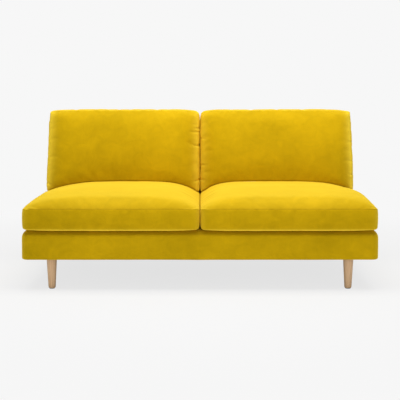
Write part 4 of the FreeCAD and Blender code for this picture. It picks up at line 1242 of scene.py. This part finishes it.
class SOFA_OT_stage(bpy.types.Operator):
    """Lay the floor, hang the lamps and set the camera"""
    bl_idname = "sofa.stage"
    bl_label = "Stage"

    def execute(self, context):
        settings = context.scene.sofa_stage
        scene = context.scene
        bm = bmesh.new()
        bmesh.ops.create_grid(bm, x_segments=2, y_segments=2, size=40)
        floor = make_piece("floor", bm, self.floor_material(settings))
        self.backdrop(settings)
        target = Vector((0, 0, 0.45))
        self.lamp("top_lamp", (0.0, -0.6, 3.2), target, 3.6, 2.0, settings.key)
        self.lamp("front_lamp", (0.0, -5.3, 1.9), target, 4.5, 1.8, settings.fill)
        tilt_down = 4.87
        camera = bpy.data.cameras.new("camera")
        camera.lens = 83.6
        camera.sensor_width = 36.0
        camera.shift_y = -0.10
        camera.clip_end = 200
        holder = bpy.data.objects.new("camera", camera)
        holder.location = (0, -4.80, 1.00)
        holder.rotation_euler = (math.radians(90 - tilt_down), 0, 0)
        scene.collection.objects.link(holder)
        scene.camera = holder
        scene.view_settings.view_transform = "Standard"
        return {"FINISHED"}

    def lamp(self, name, place, target, wide, tall, power):
        """An oblong area lamp that faces the target."""
        light = bpy.data.lights.new(name, "AREA")
        light.shape = "RECTANGLE"
        light.size, light.size_y = wide, tall
        light.energy = power
        holder = bpy.data.objects.new(name, light)
        holder.location = place
        holder.rotation_euler = (target - Vector(place)).to_track_quat("-Z", "Y").to_euler()
        bpy.context.scene.collection.objects.link(holder)

    def floor_material(self, settings):
        """Pale floor: plain to the camera far away, with its own shading round the sofa."""
        made = bpy.data.materials.new("pale_floor")
        made.use_nodes = True
        tree = made.node_tree
        tree.nodes.remove(tree.nodes["Principled BSDF"])
        place = add_node(tree, "TexCoord").outputs["Object"]
        far = add_node(tree, "VectorMath", {0: place}, operation="LENGTH").outputs["Value"]
        fade = {"Value": far, "From Min": 1.1, "From Max": 2.6, "To Min": settings.shadow, "To Max": 0.0}
        near = add_node(tree, "MapRange", fade, interpolation_type="SMOOTHSTEP").outputs[0]
        seen = add_node(tree, "LightPath").outputs["Is Camera Ray"]
        plain = math_node(tree, "MULTIPLY", math_node(tree, "SUBTRACT", 1.0, near), seen)
        matt = add_node(tree, "BsdfDiffuse", {"Color": colour((0.80, 0.80, 0.80))}).outputs[0]
        glow = add_node(tree, "Emission", {"Color": colour((settings.pale,) * 3), "Strength": 1.0}).outputs[0]
        both = add_node(tree, "MixShader", {0: plain, 1: matt, 2: glow}).outputs[0]
        tree.links.new(both, tree.nodes["Material Output"].inputs["Surface"])
        return made

    def backdrop(self, settings):
        """The world: plain light on the sofa, and the pale backdrop to the camera."""
        world = bpy.data.worlds.new("studio")
        world.use_nodes = True
        tree = world.node_tree
        light = tree.nodes["Background"]
        light.inputs["Color"].default_value = colour((1, 1, 1))
        light.inputs["Strength"].default_value = settings.room
        pale = add_node(tree, "Background", {"Color": colour((settings.pale,) * 3), "Strength": 1.0}).outputs[0]
        seen = add_node(tree, "LightPath").outputs["Is Camera Ray"]
        both = add_node(tree, "MixShader", {0: seen, 1: light.outputs[0], 2: pale}).outputs[0]
        tree.links.new(both, tree.nodes["World Output"].inputs["Surface"])
        bpy.context.scene.world = world


class SOFA_PT_pieces(bpy.types.Panel):
    """The sofa's pieces and their settings"""
    bl_idname = "SOFA_PT_pieces"
    bl_label = "Armless sofa"
    bl_space_type = "VIEW_3D"
    bl_region_type = "UI"
    bl_category = "Sofa"

    def draw(self, context):
        for operator in OPERATORS:
            self.layout.operator(operator.bl_idname)
        for name, kind in SETTINGS:
            group = getattr(context.scene, name)
            for key in kind.__annotations__:
                self.layout.prop(group, key)


SETTINGS = (("sofa_velvet", VelvetSettings), ("sofa_cushions", CushionSettings), ("sofa_covers", CoverSettings),
            ("sofa_wood", WoodSettings), ("sofa_stage", StageSettings))
OPERATORS = (SOFA_OT_seat_cushions, SOFA_OT_back_cushions, SOFA_OT_zips, SOFA_OT_base_cover, SOFA_OT_back_cover,
             SOFA_OT_linings, SOFA_OT_legs, SOFA_OT_inner_parts, SOFA_OT_stage)


def register():
    """Register the classes and attach their settings to the scene."""
    for name, kind in SETTINGS:
        bpy.utils.register_class(kind)
        setattr(bpy.types.Scene, name, PointerProperty(type=kind))
    for operator in OPERATORS:
        bpy.utils.register_class(operator)
    bpy.utils.register_class(SOFA_PT_pieces)


def unregister():
    """Undo what register did."""
    bpy.utils.unregister_class(SOFA_PT_pieces)
    for operator in reversed(OPERATORS):
        bpy.utils.unregister_class(operator)
    for name, kind in reversed(SETTINGS):
        delattr(bpy.types.Scene, name)
        bpy.utils.unregister_class(kind)


def main():
    """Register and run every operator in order."""
    register()
    for operator in OPERATORS:
        getattr(bpy.ops.sofa, operator.bl_idname.split(".")[1])()


if __name__ == "__main__":
    main()
